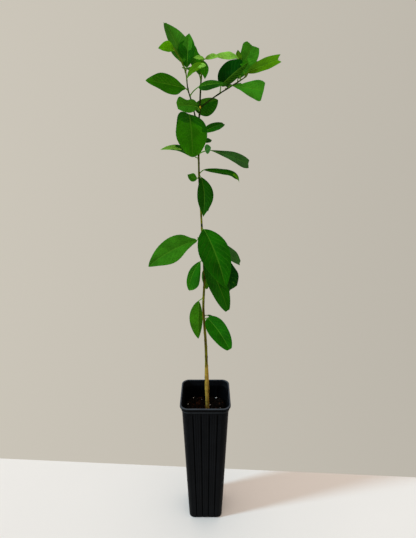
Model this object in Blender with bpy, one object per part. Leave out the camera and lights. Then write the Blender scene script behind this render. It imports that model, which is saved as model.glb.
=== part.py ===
"""A young citrus tree in a tall, square nursery pot.

The tree stands in a ball of growing mix that fills the pot to a little under its rim. Its thin trunk
forks near the top into a leader and a bough to the left, and the leader gives off a bough to the
right. Single leaves hang from the trunk and from the feet of the boughs, each on its own stalk. Past
its bare foot, each bough runs on as the stem of a mass of leaves.

Lengths are metres and angles are degrees. +Z is up, and the origin is the centre of the pot's flat
underside. A bearing of 0 points along +X (right), 90 along +Y (back) and 270 to the front.
"""

import math
import random
from dataclasses import dataclass

import bmesh
import bpy
from mathutils import Matrix, Vector

MM = 0.001

# Clear space between two pieces that touch.
GAP = 0.0003

# A fold sharper than this is shaded as an edge.
SHARP_ANGLE = math.radians(40)

# The pot: a square tapered tube with rounded corners, V-shaped flutes, a collar and a rolled lip.
RIM_WIDTH = 0.102
NECK_WIDTH = 0.0936
FOOT_WIDTH = 0.0725
POT_HEIGHT = 0.303
CORNER_SHARE = 0.30
CORNER_STEPS = 4
WALL = 0.0018
FLOOR = 0.0025
FOOT_ROUND = 0.0040
EDGE = 0.0010
LIP_FOOT = POT_HEIGHT - 0.0045
LIP_WALL = 0.0028
COLLAR_FOOT = LIP_FOOT - 0.0075
COLLAR_STEP = 0.0016
WALL_TOP = COLLAR_FOOT - 0.0020
FLUTES_PER_SIDE = 4
FLUTE_DEPTH = 0.0009
FLUTE_WIDTH = 0.0026
FLUTE_PITCH_SHARE = 0.355
DRAIN_DIAMETER = 0.009
DRAIN_DISTANCE = 0.029
DRAIN_SIDES = 12

# The ball of growing mix, whose top lies a little under the rim.
MIX_TOP = 0.265
MIX_SHOULDER = 0.003
MIX_BUMP = 0.0016
MIX_FLAT_RADIUS = 0.016
MIX_SIDE_STOPS = (-0.5, 0.0, 0.5)
MIX_EDGE_SHARE = 0.97
MIX_RINGS = 6
MIX_SEED = 4

# The woody parts. A bough is bare up to its end height, and its mass's stem goes on from there.
FORK_HEIGHT = 0.820
LEADER_END_HEIGHT = 0.880
LEFT_END_HEIGHT = 0.868
RIGHT_END_HEIGHT = 0.873
TRUNK_FOOT_RADIUS = 0.0037
FLARE_RADIUS = 0.0007
FLARE_HEIGHT = 0.012
GRAFT_RADIUS = 0.0010
GRAFT_HEIGHT = 0.065
GRAFT_SPREAD = 0.035
LEADER_TIP_RADIUS = 0.0010
BOUGH_FOOT_RADIUS = 0.00135
BOUGH_TIP_RADIUS = 0.00085
TAPER = 2.1
LIMB_SIDES = 8
LIMB_STEP = 0.014
SHORTEST_STEP = 0.002
CUTTER_REACH = 0.03

# The leaves.
BLADE_ROWS = 9
BLADE_THICKNESS = 0.0011
THICKNESS_SHARE = 0.0105
STALK_FOOT_RADIUS = 0.00092
STALK_TIP_RADIUS = 0.00080
STALK_END_RADIUS = 0.00048
STALK_SIDES = 5
STALK_STEPS = 3
STALK_BOW_SHARE = 0.08
STALK_ROOT_SHARE = 0.16
BLADE_FOLD = 14.0
FOOT_WIDTH_SHARE = 0.04
CURL_START = 0.62

# Colour and roughness of each material.
FINISHES = {
    "black plastic": ((0.018, 0.020, 0.024), 0.42),
    "growing mix": ((0.030, 0.020, 0.014), 0.95),
    "bark": ((0.110, 0.120, 0.045), 0.80),
    "leaf": ((0.045, 0.170, 0.020), 0.40),
}


@dataclass
class Leaf:
    """One leaf: a stalk that leaves its limb at a height, and a blade along its own bearing.

    pitch is the blade's mean angle above level, and bend is how far it droops from foot to tip.
    sweep turns it sideways along its length, and roll tips it about its midrib. A lower taper gives a
    fuller outline, a higher wide moves its widest place towards the tip, draw pinches the tip, skew
    makes its right half wider than its left, cut ends it short, curl turns the tip down and end makes
    it blunt. Each of dents widens one margin, -1 or 1, at a share of the length: how much, and over
    what share.
    """

    height: float
    bearing: float
    rise: float
    stalk: float
    facing: float
    pitch: float
    length: float
    width: float
    bend: float = 20.0
    sweep: float = 0.0
    roll: float = 0.0
    taper: float = 0.78
    wide: float = 0.88
    draw: float = 0.30
    skew: float = 0.0
    cut: float = 0.0
    curl: float = 0.0
    end: float = 0.04
    dents: tuple = ()


# The routes of the limbs, in millimetres. The trunk's goes on as the leader's.
TRUNK_ROUTE = (
    (4, 0, 265.3), (4, 0, 280), (3, 2, 324), (1, 3, 417), (-3.5, 1, 495), (-1.5, -1, 560), (-5, 0, 642),
    (-9.5, 2, 735), (-10.5, 1, 780), (-11, 0, 822), (-8.5, 2, 849), (-7, 4, 880), (-4, 6, 927),
)
LEFT_ROUTE = (
    (-11, 0, 820), (-14.5, -5, 838), (-20, -9, 862), (-26.5, -13, 884), (-29.5, -16, 908),
    (-38, -19, 926), (-47, -22, 941),
)
RIGHT_ROUTE = (
    (-8, 2, 856), (8, 6, 868), (25, 10, 879), (42, 14, 889), (57, 17, 898), (67, 19, 905),
    (74, 20, 915),
)

# Leaves borne singly, by the limb that carries each: heights and sizes in millimetres.
SINGLE_LEAVES = {
    "trunk": {
        "leaf_low_left": Leaf(
            518, 165, -35, 12, 95, -80, 92, 27, bend=14, taper=0.7, wide=1.0, draw=0.1,
            skew=-0.35
        ),
        "leaf_low_right": Leaf(
            473, 330, 30, 9, 305, -28, 80, 37, bend=30, roll=40, taper=0.55, draw=0.0, cut=0.03,
            end=0.2
        ),
        "leaf_low_back": Leaf(480, 40, -10, 10, 30, -50, 64, 28, bend=30),
        "leaf_mid_left": Leaf(
            641, 198, -38, 13, 205, -23, 100, 45, bend=26, roll=-50, taper=0.7, wide=0.82,
            draw=0.15, dents=((0.06, 0, -0.4, 0.1), (0.2, -1, -0.4, 0.2), (0.7, -1, 0.2, 0.2))
        ),
        "leaf_mid_front": Leaf(
            651, 290, 20, 12, 300, -51, 114, 55, bend=32, roll=17, draw=0.1, skew=0.11
        ),
        "leaf_mid_under": Leaf(
            598, 300, -10, 9, 325, -62, 100, 48, roll=10, taper=0.6, draw=0.0, skew=0.25,
            cut=0.03, end=0.2
        ),
        "leaf_mid_shade": Leaf(
            604, 36, -12, 12, 14, -61, 86, 47, bend=34, roll=50, taper=0.6, draw=0.0, skew=-0.1,
            cut=0.16, dents=((0.85, -1, 0.3, 0.2),)
        ),
        "leaf_mid_grey": Leaf(
            625, 60, 0, 12, 28, -36, 91, 31, roll=50, taper=0.6, cut=0.12,
            dents=((0.85, -1, 0.35, 0.15),)
        ),
        "leaf_mid_behind": Leaf(
            594, 160, -20, 7, 166, -70, 64, 39, bend=30, roll=-58, taper=0.65, wide=1.15,
            draw=0.0, skew=-0.5, end=0.2
        ),
        "leaf_mid_strip": Leaf(576, 75, 0, 8, 80, -75, 49, 18, bend=16, cut=0.08),
        "leaf_mid_back": Leaf(636, 100, -10, 10, 75, -38, 80, 34, bend=30),
        "leaf_high_front": Leaf(
            746, 320, -10, 4, 272, -62, 71, 29, sweep=-50, wide=0.98, taper=0.8, skew=-0.12
        ),
        "leaf_high_bud": Leaf(743, 200, 0, 4, 190, 24, 18, 15, bend=-40, roll=-70),
        "leaf_high_right": Leaf(
            750, 20, 38, 11, 5, -10, 71, 15, bend=6, roll=34, taper=0.45, wide=1.2, draw=0.1,
            curl=80, dents=((0.8, 1, 0.9, 0.12), (1.0, 0, -0.95, 0.1))
        ),
        "leaf_high_back": Leaf(738, 80, -10, 8, 60, -66, 64, 24),
        "leaf_top_right": Leaf(
            784, 15, 15, 21, 10, -20, 72, 28, bend=12, roll=40, taper=0.6, wide=1.7, draw=0.0,
            skew=0.15, cut=0.12, dents=((0.85, 1, 0.4, 0.2),)
        ),
        "leaf_top_small": Leaf(783, 318, 20, 17, 330, 30, 12, 17, bend=10, roll=70, taper=0.5),
        "leaf_top_left": Leaf(
            775, 205, 30, 6, 205, 10, 66, 20, bend=50, roll=-30, wide=1.0, draw=0.5,
            dents=((0.3, -1, 1.4, 0.22),)
        ),
        "leaf_top_dark": Leaf(801, 20, 10, 8, 60, 4, 31, 12, bend=16, roll=40),
        "leaf_top_back": Leaf(
            814, 40, 20, 12, 45, 15, 51, 20, bend=16, roll=34, taper=0.65, draw=0.0, skew=0.25,
            cut=0.06
        ),
        "leaf_fork_right": Leaf(
            852, 165, 30, 13, 40, 11, 56, 29, bend=13, roll=92, taper=0.58, draw=0.1, skew=0.5
        ),
        "leaf_fork_left": Leaf(
            851, 256, 26, 14, 196, 0, 34, 25, bend=30, roll=-78, taper=0.6, cut=0.12,
            dents=((0.5, 1, -0.35, 0.18), (0.88, 1, 0.6, 0.14))
        ),
    },
    "bough_left": {
        "leaf_fork_front": Leaf(
            838, 227, 28, 17, 279, -62, 77, 54, bend=56, roll=-20, taper=0.5, draw=0.0, skew=0.04,
            dents=((0.7, 1, 0.25, 0.2),)
        ),
    },
}

# The leaves of each mass, in the same form.
MASS_LEAVES = {
    "crown_left": (
        Leaf(
            873, 318, 34, 24, 306, -1, 70, 15, bend=10, roll=75, taper=0.8, wide=0.72, draw=0.6,
            skew=0.2
        ),
        Leaf(
            880, 200, 45, 7, 215, 6, 70, 33, bend=6, roll=-72, taper=0.72, draw=0.15, skew=-0.08,
            dents=((0.07, 0, -0.4, 0.12), (0.25, 1, -0.2, 0.2), (0.7, 1, 0.1, 0.15), (0.75, -1, -0.2, 0.2))
        ),
        Leaf(897, 290, 40, 5, 330, 20, 38, 19, bend=56, roll=52, taper=0.6),
        Leaf(908, 60, 60, 8, 84, 60, 60, 28, bend=10, skew=-0.15),
        Leaf(
            918, 100, 30, 6, 126, 50, 82, 37, bend=10, sweep=20, taper=0.65, wide=1.1, draw=0.0,
            skew=0.18, end=0.2, dents=((0.12, -1, 0.9, 0.16),)
        ),
        Leaf(936, 170, 30, 3, 185, 6, 24, 18, bend=10, roll=-60, skew=0.38),
        Leaf(913, 92, 0, 7, 76, 0, 31, 16, bend=30),
    ),
    "crown_top": (
        Leaf(890, 120, 75, 17, 108, 57, 58, 27, bend=10, sweep=-40, dents=((0.7, 1, -0.35, 0.18),)),
        Leaf(925, 300, 10, 5, 280, -65, 30, 14, bend=10),
        Leaf(926, 280, 5, 18, 182, 4, 16, 9, bend=10, roll=-50),
        Leaf(926, 340, 30, 6, 0, 8, 24, 12, bend=20, roll=48),
        Leaf(905, 90, 30, 8, 84, 10, 46, 20, bend=40),
    ),
    "crown_right": (
        Leaf(879, 280, 60, 13, 358, 38, 54, 32, bend=10, roll=-96, taper=0.5, skew=0.42),
        Leaf(884, 60, 20, 12, 70, 0, 60, 28, bend=40),
        Leaf(
            887, 300, 28, 8, 345, -9, 55, 31, bend=0, roll=72, taper=0.75, wide=2.0, draw=0.0,
            skew=0.08, cut=0.14, dents=((1.0, 1, 0.35, 0.15),)
        ),
        Leaf(
            896, 80, 50, 8, 55, 50, 70, 33, bend=10, roll=42, taper=0.6, wide=1.1, draw=0.0,
            skew=0.1, cut=0.16, dents=((0.4, -1, -0.3, 0.25), (0.9, -1, 0.25, 0.12))
        ),
        Leaf(899, 120, 75, 36, 170, 4, 40, 17, bend=10, roll=-50),
        Leaf(905, 150, 60, 24, 92, 40, 36, 10, bend=10),
        Leaf(906, 320, 65, 6, 335, 17, 58, 21, bend=0, roll=68, taper=0.6, draw=0.0, cut=0.17),
        Leaf(906, 60, 40, 12, 40, 15, 52, 24, roll=30),
    ),
}


def clear_scene():
    for item in list(bpy.data.objects):
        bpy.data.objects.remove(item)


def material(name):
    """The Principled material of one finish."""
    found = bpy.data.materials.get(name)
    if found:
        return found
    colour, roughness = FINISHES[name]
    made = bpy.data.materials.new(name)
    made.use_nodes = True
    shader = made.node_tree.nodes["Principled BSDF"]
    shader.inputs["Base Color"].default_value = (*colour, 1.0)
    shader.inputs["Roughness"].default_value = roughness
    shader.inputs["Metallic"].default_value = 0.0
    made.diffuse_color = (*colour, 1.0)
    return made


def new_object(name, shape, finish=None):
    """An object in the scene from a bmesh, which it frees, with its normals facing out."""
    bmesh.ops.recalc_face_normals(shape, faces=shape.faces)
    mesh = bpy.data.meshes.new(name)
    shape.to_mesh(mesh)
    shape.free()
    made = bpy.data.objects.new(name, mesh)
    bpy.context.scene.collection.objects.link(made)
    if finish:
        mesh.materials.append(material(finish))
    return made


def loft(rings):
    """A closed bmesh through rings of equally many points, with a flat cap on each end."""
    made = bmesh.new()
    rows = [[made.verts.new(point) for point in ring] for ring in rings]
    count = len(rings[0])
    for lower, upper in zip(rows, rows[1:]):
        for i in range(count):
            j = (i + 1) % count
            made.faces.new((lower[i], lower[j], upper[j], upper[i]))
    made.faces.new(rows[0][::-1])
    made.faces.new(rows[-1])
    return made


def new_collection(name):
    """A collection for the pieces that one union joins."""
    made = bpy.data.collections.new(name)
    bpy.context.scene.collection.children.link(made)
    return made


def move_to(collection, item):
    bpy.context.scene.collection.objects.unlink(item)
    collection.objects.link(item)


def bake(target, steps):
    """Applies Boolean steps to an object, then removes the objects and collections they used."""
    for operation, tool in steps:
        cut = target.modifiers.new(operation.lower(), "BOOLEAN")
        cut.operation = operation
        cut.solver = "EXACT"
        if isinstance(tool, bpy.types.Collection):
            cut.operand_type = "COLLECTION"
            cut.collection = tool
        else:
            cut.object = tool
    graph = bpy.context.evaluated_depsgraph_get()
    baked = bpy.data.meshes.new_from_object(target.evaluated_get(graph))
    target.modifiers.clear()
    target.data = baked
    for _, tool in steps:
        if isinstance(tool, bpy.types.Collection):
            for item in list(tool.objects):
                bpy.data.objects.remove(item)
            bpy.data.collections.remove(tool)
        else:
            bpy.data.objects.remove(tool)


# ---------------------------------------------------------------- the pot and its growing mix


def wall_width(height):
    """Outer width of the tapered wall at a height."""
    share = (height - FLOOR) / (WALL_TOP - FLOOR)
    return FOOT_WIDTH + (NECK_WIDTH - FOOT_WIDTH) * share


def square_ring(width, height, stops):
    """A rounded square at a height. Each stop is a place along a side and its depth there."""
    half = width / 2
    radius = half * CORNER_SHARE
    corner = half - radius
    side = [(half - depth, place) for place, depth in stops]
    for k in range(CORNER_STEPS + 1):
        angle = math.radians(90 * k / CORNER_STEPS)
        side.append((corner + radius * math.cos(angle), corner + radius * math.sin(angle)))
    ring = []
    for turn in range(4):
        around = Matrix.Rotation(math.radians(90 * turn), 3, "Z")
        ring += [around @ Vector((x, y, height)) for x, y in side]
    return ring


def flute_stops(width, depth):
    """The V-shaped flutes along one side: each has an edge, a bottom and an edge."""
    pitch = width / 2 * FLUTE_PITCH_SHARE
    stops = []
    for k in range(FLUTES_PER_SIDE):
        centre = (k - (FLUTES_PER_SIDE - 1) / 2) * pitch
        stops += [(centre - FLUTE_WIDTH / 2, 0), (centre, depth), (centre + FLUTE_WIDTH / 2, 0)]
    return stops


def pot_ring(width, height, depth=0.0):
    """A ring of the pot, with the flutes' points even where they have no depth."""
    return square_ring(width, height, flute_stops(width, depth))


def make_pot():
    """The pot: up the outside, over the lip and down the inside, with drain holes in its floor."""
    inside = 2 * WALL
    collar_width = NECK_WIDTH + 2 * COLLAR_STEP
    outside_rings = [
        pot_ring(FOOT_WIDTH - 2 * FOOT_ROUND, 0.0),
        pot_ring(FOOT_WIDTH - FOOT_ROUND / 2, FOOT_ROUND / 3),
        pot_ring(FOOT_WIDTH, FOOT_ROUND, FLUTE_DEPTH),
        pot_ring(NECK_WIDTH, WALL_TOP, FLUTE_DEPTH),
        pot_ring(NECK_WIDTH, COLLAR_FOOT),
        pot_ring(collar_width, COLLAR_FOOT + EDGE / 2),
        pot_ring(collar_width, LIP_FOOT - EDGE / 2),
    ]
    lip_rings = [
        pot_ring(RIM_WIDTH - EDGE, LIP_FOOT),
        pot_ring(RIM_WIDTH, LIP_FOOT + EDGE),
        pot_ring(RIM_WIDTH - EDGE, POT_HEIGHT - EDGE),
        pot_ring(RIM_WIDTH - 3 * EDGE, POT_HEIGHT),
        pot_ring(RIM_WIDTH - 2 * LIP_WALL, POT_HEIGHT - EDGE),
    ]
    inside_rings = [
        pot_ring(NECK_WIDTH - inside, WALL_TOP),
        pot_ring(FOOT_WIDTH - inside, FLOOR),
    ]
    pot = new_object("pot", loft(outside_rings + lip_rings + inside_rings), "black plastic")
    drains = bmesh.new()
    for turn in range(4):
        around = Matrix.Rotation(math.radians(90 * turn + 45), 4, "Z")
        bmesh.ops.create_cone(
            drains,
            cap_ends=True,
            segments=DRAIN_SIDES,
            radius1=DRAIN_DIAMETER / 2,
            radius2=DRAIN_DIAMETER / 2,
            depth=4 * FLOOR,
            matrix=around @ Matrix.Translation((DRAIN_DISTANCE, 0, FLOOR / 2)),
        )
    bake(pot, [("DIFFERENCE", new_object("drain_cutter", drains))])


def make_root_ball():
    """The growing mix: it fills the pot, and its top is uneven but for a flat round the trunk."""
    chance = random.Random(MIX_SEED)
    clearance = 2 * (WALL + GAP)

    def mix_ring(height, share=1.0):
        width = (wall_width(height) - clearance) * share
        straight = width / 2 * (1 - CORNER_SHARE)
        return square_ring(width, height, [(straight * stop, 0.0) for stop in MIX_SIDE_STOPS])

    rings = [mix_ring(FLOOR + GAP), mix_ring(MIX_TOP - MIX_SHOULDER)]
    for k in range(MIX_RINGS):
        ring = mix_ring(MIX_TOP, MIX_EDGE_SHARE * (1 - k / MIX_RINGS))
        for point in ring:
            if math.hypot(point.x, point.y) > MIX_FLAT_RADIUS:
                point.z += MIX_BUMP * chance.uniform(-1, 1)
        rings.append(ring)
    new_object("root_ball", loft(rings), "growing mix")


# ---------------------------------------------------------------------- limbs


def direction(bearing, pitch):
    """The unit vector at a bearing and an angle above level."""
    turn, lift = math.radians(bearing), math.radians(pitch)
    return Vector(
        (math.cos(lift) * math.cos(turn), math.cos(lift) * math.sin(turn), math.sin(lift))
    )


def smooth_route(knots):
    """Points about LIMB_STEP apart on a smooth curve through the knots."""
    knots = [Vector(knot) * MM for knot in knots]
    ends = [2 * knots[0] - knots[1], *knots, 2 * knots[-1] - knots[-2]]
    points = [knots[0]]
    for a, b, c, d in zip(ends, ends[1:], ends[2:], ends[3:]):
        steps = max(2, round((c - b).length / LIMB_STEP))
        for k in range(1, steps + 1):
            t = k / steps
            curve = 2 * b + (c - a) * t + (2 * a - 5 * b + 4 * c - d) * t**2
            points.append((curve + (3 * b - a - 3 * c + d) * t**3) / 2)
    return points


def tube(points, radii, sides):
    """A closed tube round a route, whose rings don't twist."""
    rings = []
    side = None
    for i, point in enumerate(points):
        ahead = points[min(i + 1, len(points) - 1)]
        behind = points[max(i - 1, 0)]
        along = (ahead - behind).normalized()
        if side is None:
            side = along.orthogonal()
        side = (side - along * side.dot(along)).normalized()
        other = along.cross(side)
        ring = []
        for k in range(sides):
            angle = math.tau * k / sides
            ring.append(point + radii[i] * (side * math.cos(angle) + other * math.sin(angle)))
        rings.append(ring)
    return loft(rings)


class Limb:
    """A tapering limb along a smooth route, thicker by a flare at its foot and by a graft over it."""

    def __init__(self, knots, foot_radius, tip_radius, flare=0.0, graft=0.0):
        self.points = smooth_route(knots)
        self.lengths = [0.0]
        for a, b in zip(self.points, self.points[1:]):
            self.lengths.append(self.lengths[-1] + (b - a).length)
        self.foot_radius = foot_radius
        self.tip_radius = tip_radius
        self.flare = flare
        self.graft = graft

    def radius(self, length):
        taper = math.exp(-TAPER * length / self.lengths[-1])
        flare = self.flare * math.exp(-length / FLARE_HEIGHT)
        graft = self.graft * math.exp(-(((length - GRAFT_HEIGHT) / GRAFT_SPREAD) ** 4))
        return self.tip_radius + (self.foot_radius - self.tip_radius) * taper + flare + graft

    def at(self, length):
        """The point a length along the route."""
        for i in range(1, len(self.points)):
            if length <= self.lengths[i] or i == len(self.points) - 1:
                share = (length - self.lengths[i - 1]) / (self.lengths[i] - self.lengths[i - 1])
                return self.points[i - 1].lerp(self.points[i], share)

    def length_at(self, height):
        """How far along the route a height is reached."""
        for i in range(1, len(self.points)):
            if self.points[i].z >= height:
                rise = self.points[i].z - self.points[i - 1].z
                share = (height - self.points[i - 1].z) / rise
                return self.lengths[i - 1] + share * (self.lengths[i] - self.lengths[i - 1])
        return self.lengths[-1]

    def solid(self, start, end, sides, extra=0.0):
        """A bmesh of the stretch between two lengths, made fatter by extra."""
        first, last = start + SHORTEST_STEP, end - SHORTEST_STEP
        places = [start, *(here for here in self.lengths if first < here < last), end]
        spread = extra / math.cos(math.pi / sides)
        radii = [self.radius(max(here, 0.0)) + spread for here in places]
        return tube([self.at(here) for here in places], radii, sides)


# --------------------------------------------------------------------- leaves


def half_width(leaf, share, margin):
    """The blade's width from its midrib to a margin, -1 or 1, at a share of its length."""
    reached = share * (1 - leaf.cut)
    body = math.sin(math.pi * reached**leaf.wide) ** leaf.taper if 0 < reached < 1 else 0.0
    least = FOOT_WIDTH_SHARE * (1 - share) + leaf.end * share**12
    width = leaf.width * MM / 2 * (1 + margin * leaf.skew)
    width *= max(body * (1 - leaf.draw * share**5), least)
    for place, dented, amount, spread in leaf.dents:
        if dented in (0, margin):
            width *= 1 + amount * math.exp(-(((share - place) / spread) ** 2))
    return width


def blade_frame(leaf, share):
    """The blade's forward, sideways and upper directions at a share of its length."""
    facing = leaf.facing + leaf.sweep * (share - 0.5)
    drop = leaf.curl * max(0.0, share - CURL_START) / (1 - CURL_START)
    along = direction(facing, leaf.pitch + leaf.bend * (0.5 - share) - drop)
    side = Matrix.Rotation(math.radians(leaf.roll), 3, along) @ direction(facing - 90, 0)
    return along, side, side.cross(along)


def blade_rows(leaf, foot):
    """The midrib's points, each with its frame, from the blade's foot to its tip."""
    step = leaf.length * MM / BLADE_ROWS
    rows = []
    point = foot.copy()
    for k in range(BLADE_ROWS + 1):
        along, side, upper = blade_frame(leaf, k / BLADE_ROWS)
        rows.append((point.copy(), side, upper))
        point += along * step
    return rows


def blade_solid(leaf, foot):
    """A closed bmesh of the blade, folded up a little to both sides of the midrib."""
    thickness = max(BLADE_THICKNESS, THICKNESS_SHARE * leaf.length * MM)
    fold = math.radians(BLADE_FOLD)
    rings = []
    for k, (point, side, upper) in enumerate(blade_rows(leaf, foot)):
        sloped = {}
        for margin in (-1, 1):
            half = half_width(leaf, k / BLADE_ROWS, margin)
            across = side * margin * math.cos(fold) + upper * math.sin(fold)
            sloped[margin] = point + across * half
        middle = (sloped[-1], point, sloped[1])
        over = [place + upper * thickness / 2 for place in middle]
        under = [place - upper * thickness / 2 for place in middle]
        rings.append(over + under[::-1])
    return loft(rings)


def stalk_solid(leaf, limb):
    """The stalk from the limb's core to the blade's foot and a little way in, and that foot."""
    start = limb.at(limb.length_at(leaf.height * MM))
    foot = start + direction(leaf.bearing, leaf.rise) * leaf.stalk * MM
    along, _, upper = blade_frame(leaf, 0.0)
    points = []
    radii = []
    for k in range(STALK_STEPS + 1):
        share = k / STALK_STEPS
        bow = STALK_BOW_SHARE * leaf.stalk * MM * math.sin(math.pi * share)
        points.append(start.lerp(foot, share) + upper * bow)
        radii.append(STALK_FOOT_RADIUS + (STALK_TIP_RADIUS - STALK_FOOT_RADIUS) * share)
    points.append(foot + along * leaf.length * MM * STALK_ROOT_SHARE)
    radii.append(STALK_END_RADIUS)
    return tube(points, radii, STALK_SIDES), foot


def add_leaf(collection, leaf, limb):
    """Puts a leaf's blade in a collection, and returns its stalk."""
    stalk, foot = stalk_solid(leaf, limb)
    blade = new_object("blade", blade_solid(leaf, foot))
    move_to(collection, blade)
    return new_object("stalk", stalk)


def reach_round(limb, height):
    """The stretch of a limb, as two lengths, that a cutter round a height takes in."""
    length = limb.length_at(height)
    return length - CUTTER_REACH, length + CUTTER_REACH


def make_single_leaf(name, leaf, limb):
    """A leaf whose stalk stops just short of its limb."""
    fused = new_collection(name)
    made = add_leaf(fused, leaf, limb)
    made.name = name
    made.data.materials.append(material("leaf"))
    around = limb.solid(*reach_round(limb, leaf.height * MM), LIMB_SIDES, extra=GAP)
    cutter = new_object("limb_cutter", around)
    bake(made, [("UNION", fused), ("DIFFERENCE", cutter)])


def make_limb(name, limb, start, end, parent=None):
    """One bare stretch of a limb. Its foot is cut to stand just clear of the parent limb."""
    made = new_object(name, limb.solid(start, end, LIMB_SIDES), "bark")
    if parent:
        around = parent.solid(*reach_round(parent, limb.points[0].z), LIMB_SIDES, extra=GAP)
        bake(made, [("DIFFERENCE", new_object("limb_cutter", around))])


def make_mass(name, limb, start):
    """The mass at a limb's end: the rest of the limb as its stem, with its leaves fused on."""
    stem = new_object(name, limb.solid(start, limb.lengths[-1], LIMB_SIDES), "leaf")
    fused = new_collection(name)
    for leaf in MASS_LEAVES[name]:
        move_to(fused, add_leaf(fused, leaf, limb))
    bake(stem, [("UNION", fused)])


def main():
    clear_scene()
    make_pot()
    make_root_ball()

    trunk = Limb(
        TRUNK_ROUTE, TRUNK_FOOT_RADIUS, LEADER_TIP_RADIUS, flare=FLARE_RADIUS, graft=GRAFT_RADIUS
    )
    left = Limb(LEFT_ROUTE, BOUGH_FOOT_RADIUS, BOUGH_TIP_RADIUS)
    right = Limb(RIGHT_ROUTE, BOUGH_FOOT_RADIUS, BOUGH_TIP_RADIUS)
    fork = trunk.length_at(FORK_HEIGHT)
    leader_end = trunk.length_at(LEADER_END_HEIGHT)
    left_end = left.length_at(LEFT_END_HEIGHT)
    right_end = right.length_at(RIGHT_END_HEIGHT)

    make_limb("trunk", trunk, 0.0, fork - GAP / 2)
    make_limb("leader", trunk, fork + GAP / 2, leader_end - GAP / 2)
    make_limb("bough_left", left, 0.0, left_end - GAP / 2, parent=trunk)
    make_limb("bough_right", right, 0.0, right_end - GAP / 2, parent=trunk)
    make_mass("crown_top", trunk, leader_end + GAP / 2)
    make_mass("crown_left", left, left_end + GAP / 2)
    make_mass("crown_right", right, right_end + GAP / 2)

    carriers = {"trunk": trunk, "bough_left": left}
    for carrier, leaves in SINGLE_LEAVES.items():
        for name, leaf in leaves.items():
            make_single_leaf(name, leaf, carriers[carrier])

    for made in bpy.context.scene.objects:
        made.data.shade_smooth()
        made.data.set_sharp_from_angle(angle=SHARP_ANGLE)


main()
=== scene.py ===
"""The looks of a potted citrus sapling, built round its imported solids.

The pot, the growing mix, the stem with its boughs, and every leaf are modelled here in the detail that
the solids leave out, each at its solid's own place. Lengths are metres and angles are degrees, but the
tables of routes and leaves are in millimetres. A bearing of 0 points along +X and 90 along +Y.
"""

import math
import random
from dataclasses import dataclass

import bmesh
import bpy
from bpy.props import FloatProperty, FloatVectorProperty, IntProperty, PointerProperty
from mathutils import Matrix, Vector, noise


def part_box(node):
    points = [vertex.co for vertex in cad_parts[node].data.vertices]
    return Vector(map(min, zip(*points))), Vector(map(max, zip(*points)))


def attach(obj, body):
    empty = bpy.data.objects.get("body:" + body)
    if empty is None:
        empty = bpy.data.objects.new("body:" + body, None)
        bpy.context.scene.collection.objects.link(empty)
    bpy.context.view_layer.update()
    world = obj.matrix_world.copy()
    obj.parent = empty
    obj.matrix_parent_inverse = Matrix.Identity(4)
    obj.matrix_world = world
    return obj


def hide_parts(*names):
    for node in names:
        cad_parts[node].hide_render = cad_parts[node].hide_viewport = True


bl_info = {
    "name": "Potted citrus sapling",
    "version": (1, 0, 0),
    "blender": (4, 5, 0),
    "location": "View3D > Sidebar > Sapling",
    "description": "Dresses the packed solids of a potted sapling and sets a studio round them",
    "category": "Object",
}

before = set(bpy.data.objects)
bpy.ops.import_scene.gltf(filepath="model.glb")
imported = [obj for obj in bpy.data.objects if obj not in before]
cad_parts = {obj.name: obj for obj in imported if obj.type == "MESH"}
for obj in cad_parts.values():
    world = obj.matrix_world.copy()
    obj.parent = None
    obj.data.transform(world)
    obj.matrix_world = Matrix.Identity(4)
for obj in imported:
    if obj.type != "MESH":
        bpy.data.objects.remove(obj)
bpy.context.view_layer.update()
POT_LOW, POT_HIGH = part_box("pot")

MM = 0.001
SEAM = 1e-7

# A fold sharper than this is shaded as an edge.
SHARP_ANGLE = math.radians(50)

# The limbs, as the solids have them: radii, the taper between them, a flare at the trunk's foot and the
# swelling of the graft above it.
TRUNK_FOOT_RADIUS = 0.0037
FLARE_RADIUS = 0.0007
FLARE_HEIGHT = 0.012
GRAFT_RADIUS = 0.0010
GRAFT_HEIGHT = 0.065
GRAFT_SPREAD = 0.035
LEADER_TIP_RADIUS = 0.0010
BOUGH_FOOT_RADIUS = 0.00135
BOUGH_TIP_RADIUS = 0.00085
TAPER = 2.1
ROUTE_STEP = 0.0014
BARK_SIDES = 26
TWIG_SIDES = 12

# The leaves, as the solids have them. The solids' blades have few rows, and the midribs here lag behind
# their bend by half such a row, so that they lie in the solids.
SOURCE_ROWS = 9
SOURCE_LAG = 0.5 / SOURCE_ROWS
STALK_FOOT_RADIUS = 0.00092
STALK_TIP_RADIUS = 0.00074
STALK_BOW_SHARE = 0.08
STALK_STEPS = 9
STALK_SIDES = 8
BLADE_FOLD = 14.0
BLADE_ROWS = 72
BLADE_COLUMNS = 24
CURL_START = 0.62

# The routes of the limbs. The trunk's goes on as the leader's.
TRUNK_ROUTE = (
    (4, 0, 265.3), (4, 0, 280), (3, 2, 324), (1, 3, 417), (-3.5, 1, 495), (-1.5, -1, 560), (-5, 0, 642),
    (-9.5, 2, 735), (-10.5, 1, 780), (-11, 0, 822), (-8.5, 2, 849), (-7, 4, 880), (-4, 6, 927),
)
LEFT_ROUTE = (
    (-11, 0, 820), (-14.5, -5, 838), (-20, -9, 862), (-26.5, -13, 884), (-29.5, -16, 908),
    (-38, -19, 926), (-47, -22, 941),
)
RIGHT_ROUTE = (
    (-8, 2, 856), (8, 6, 868), (25, 10, 879), (42, 14, 889), (57, 17, 898), (67, 19, 905),
    (74, 20, 915),
)


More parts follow.
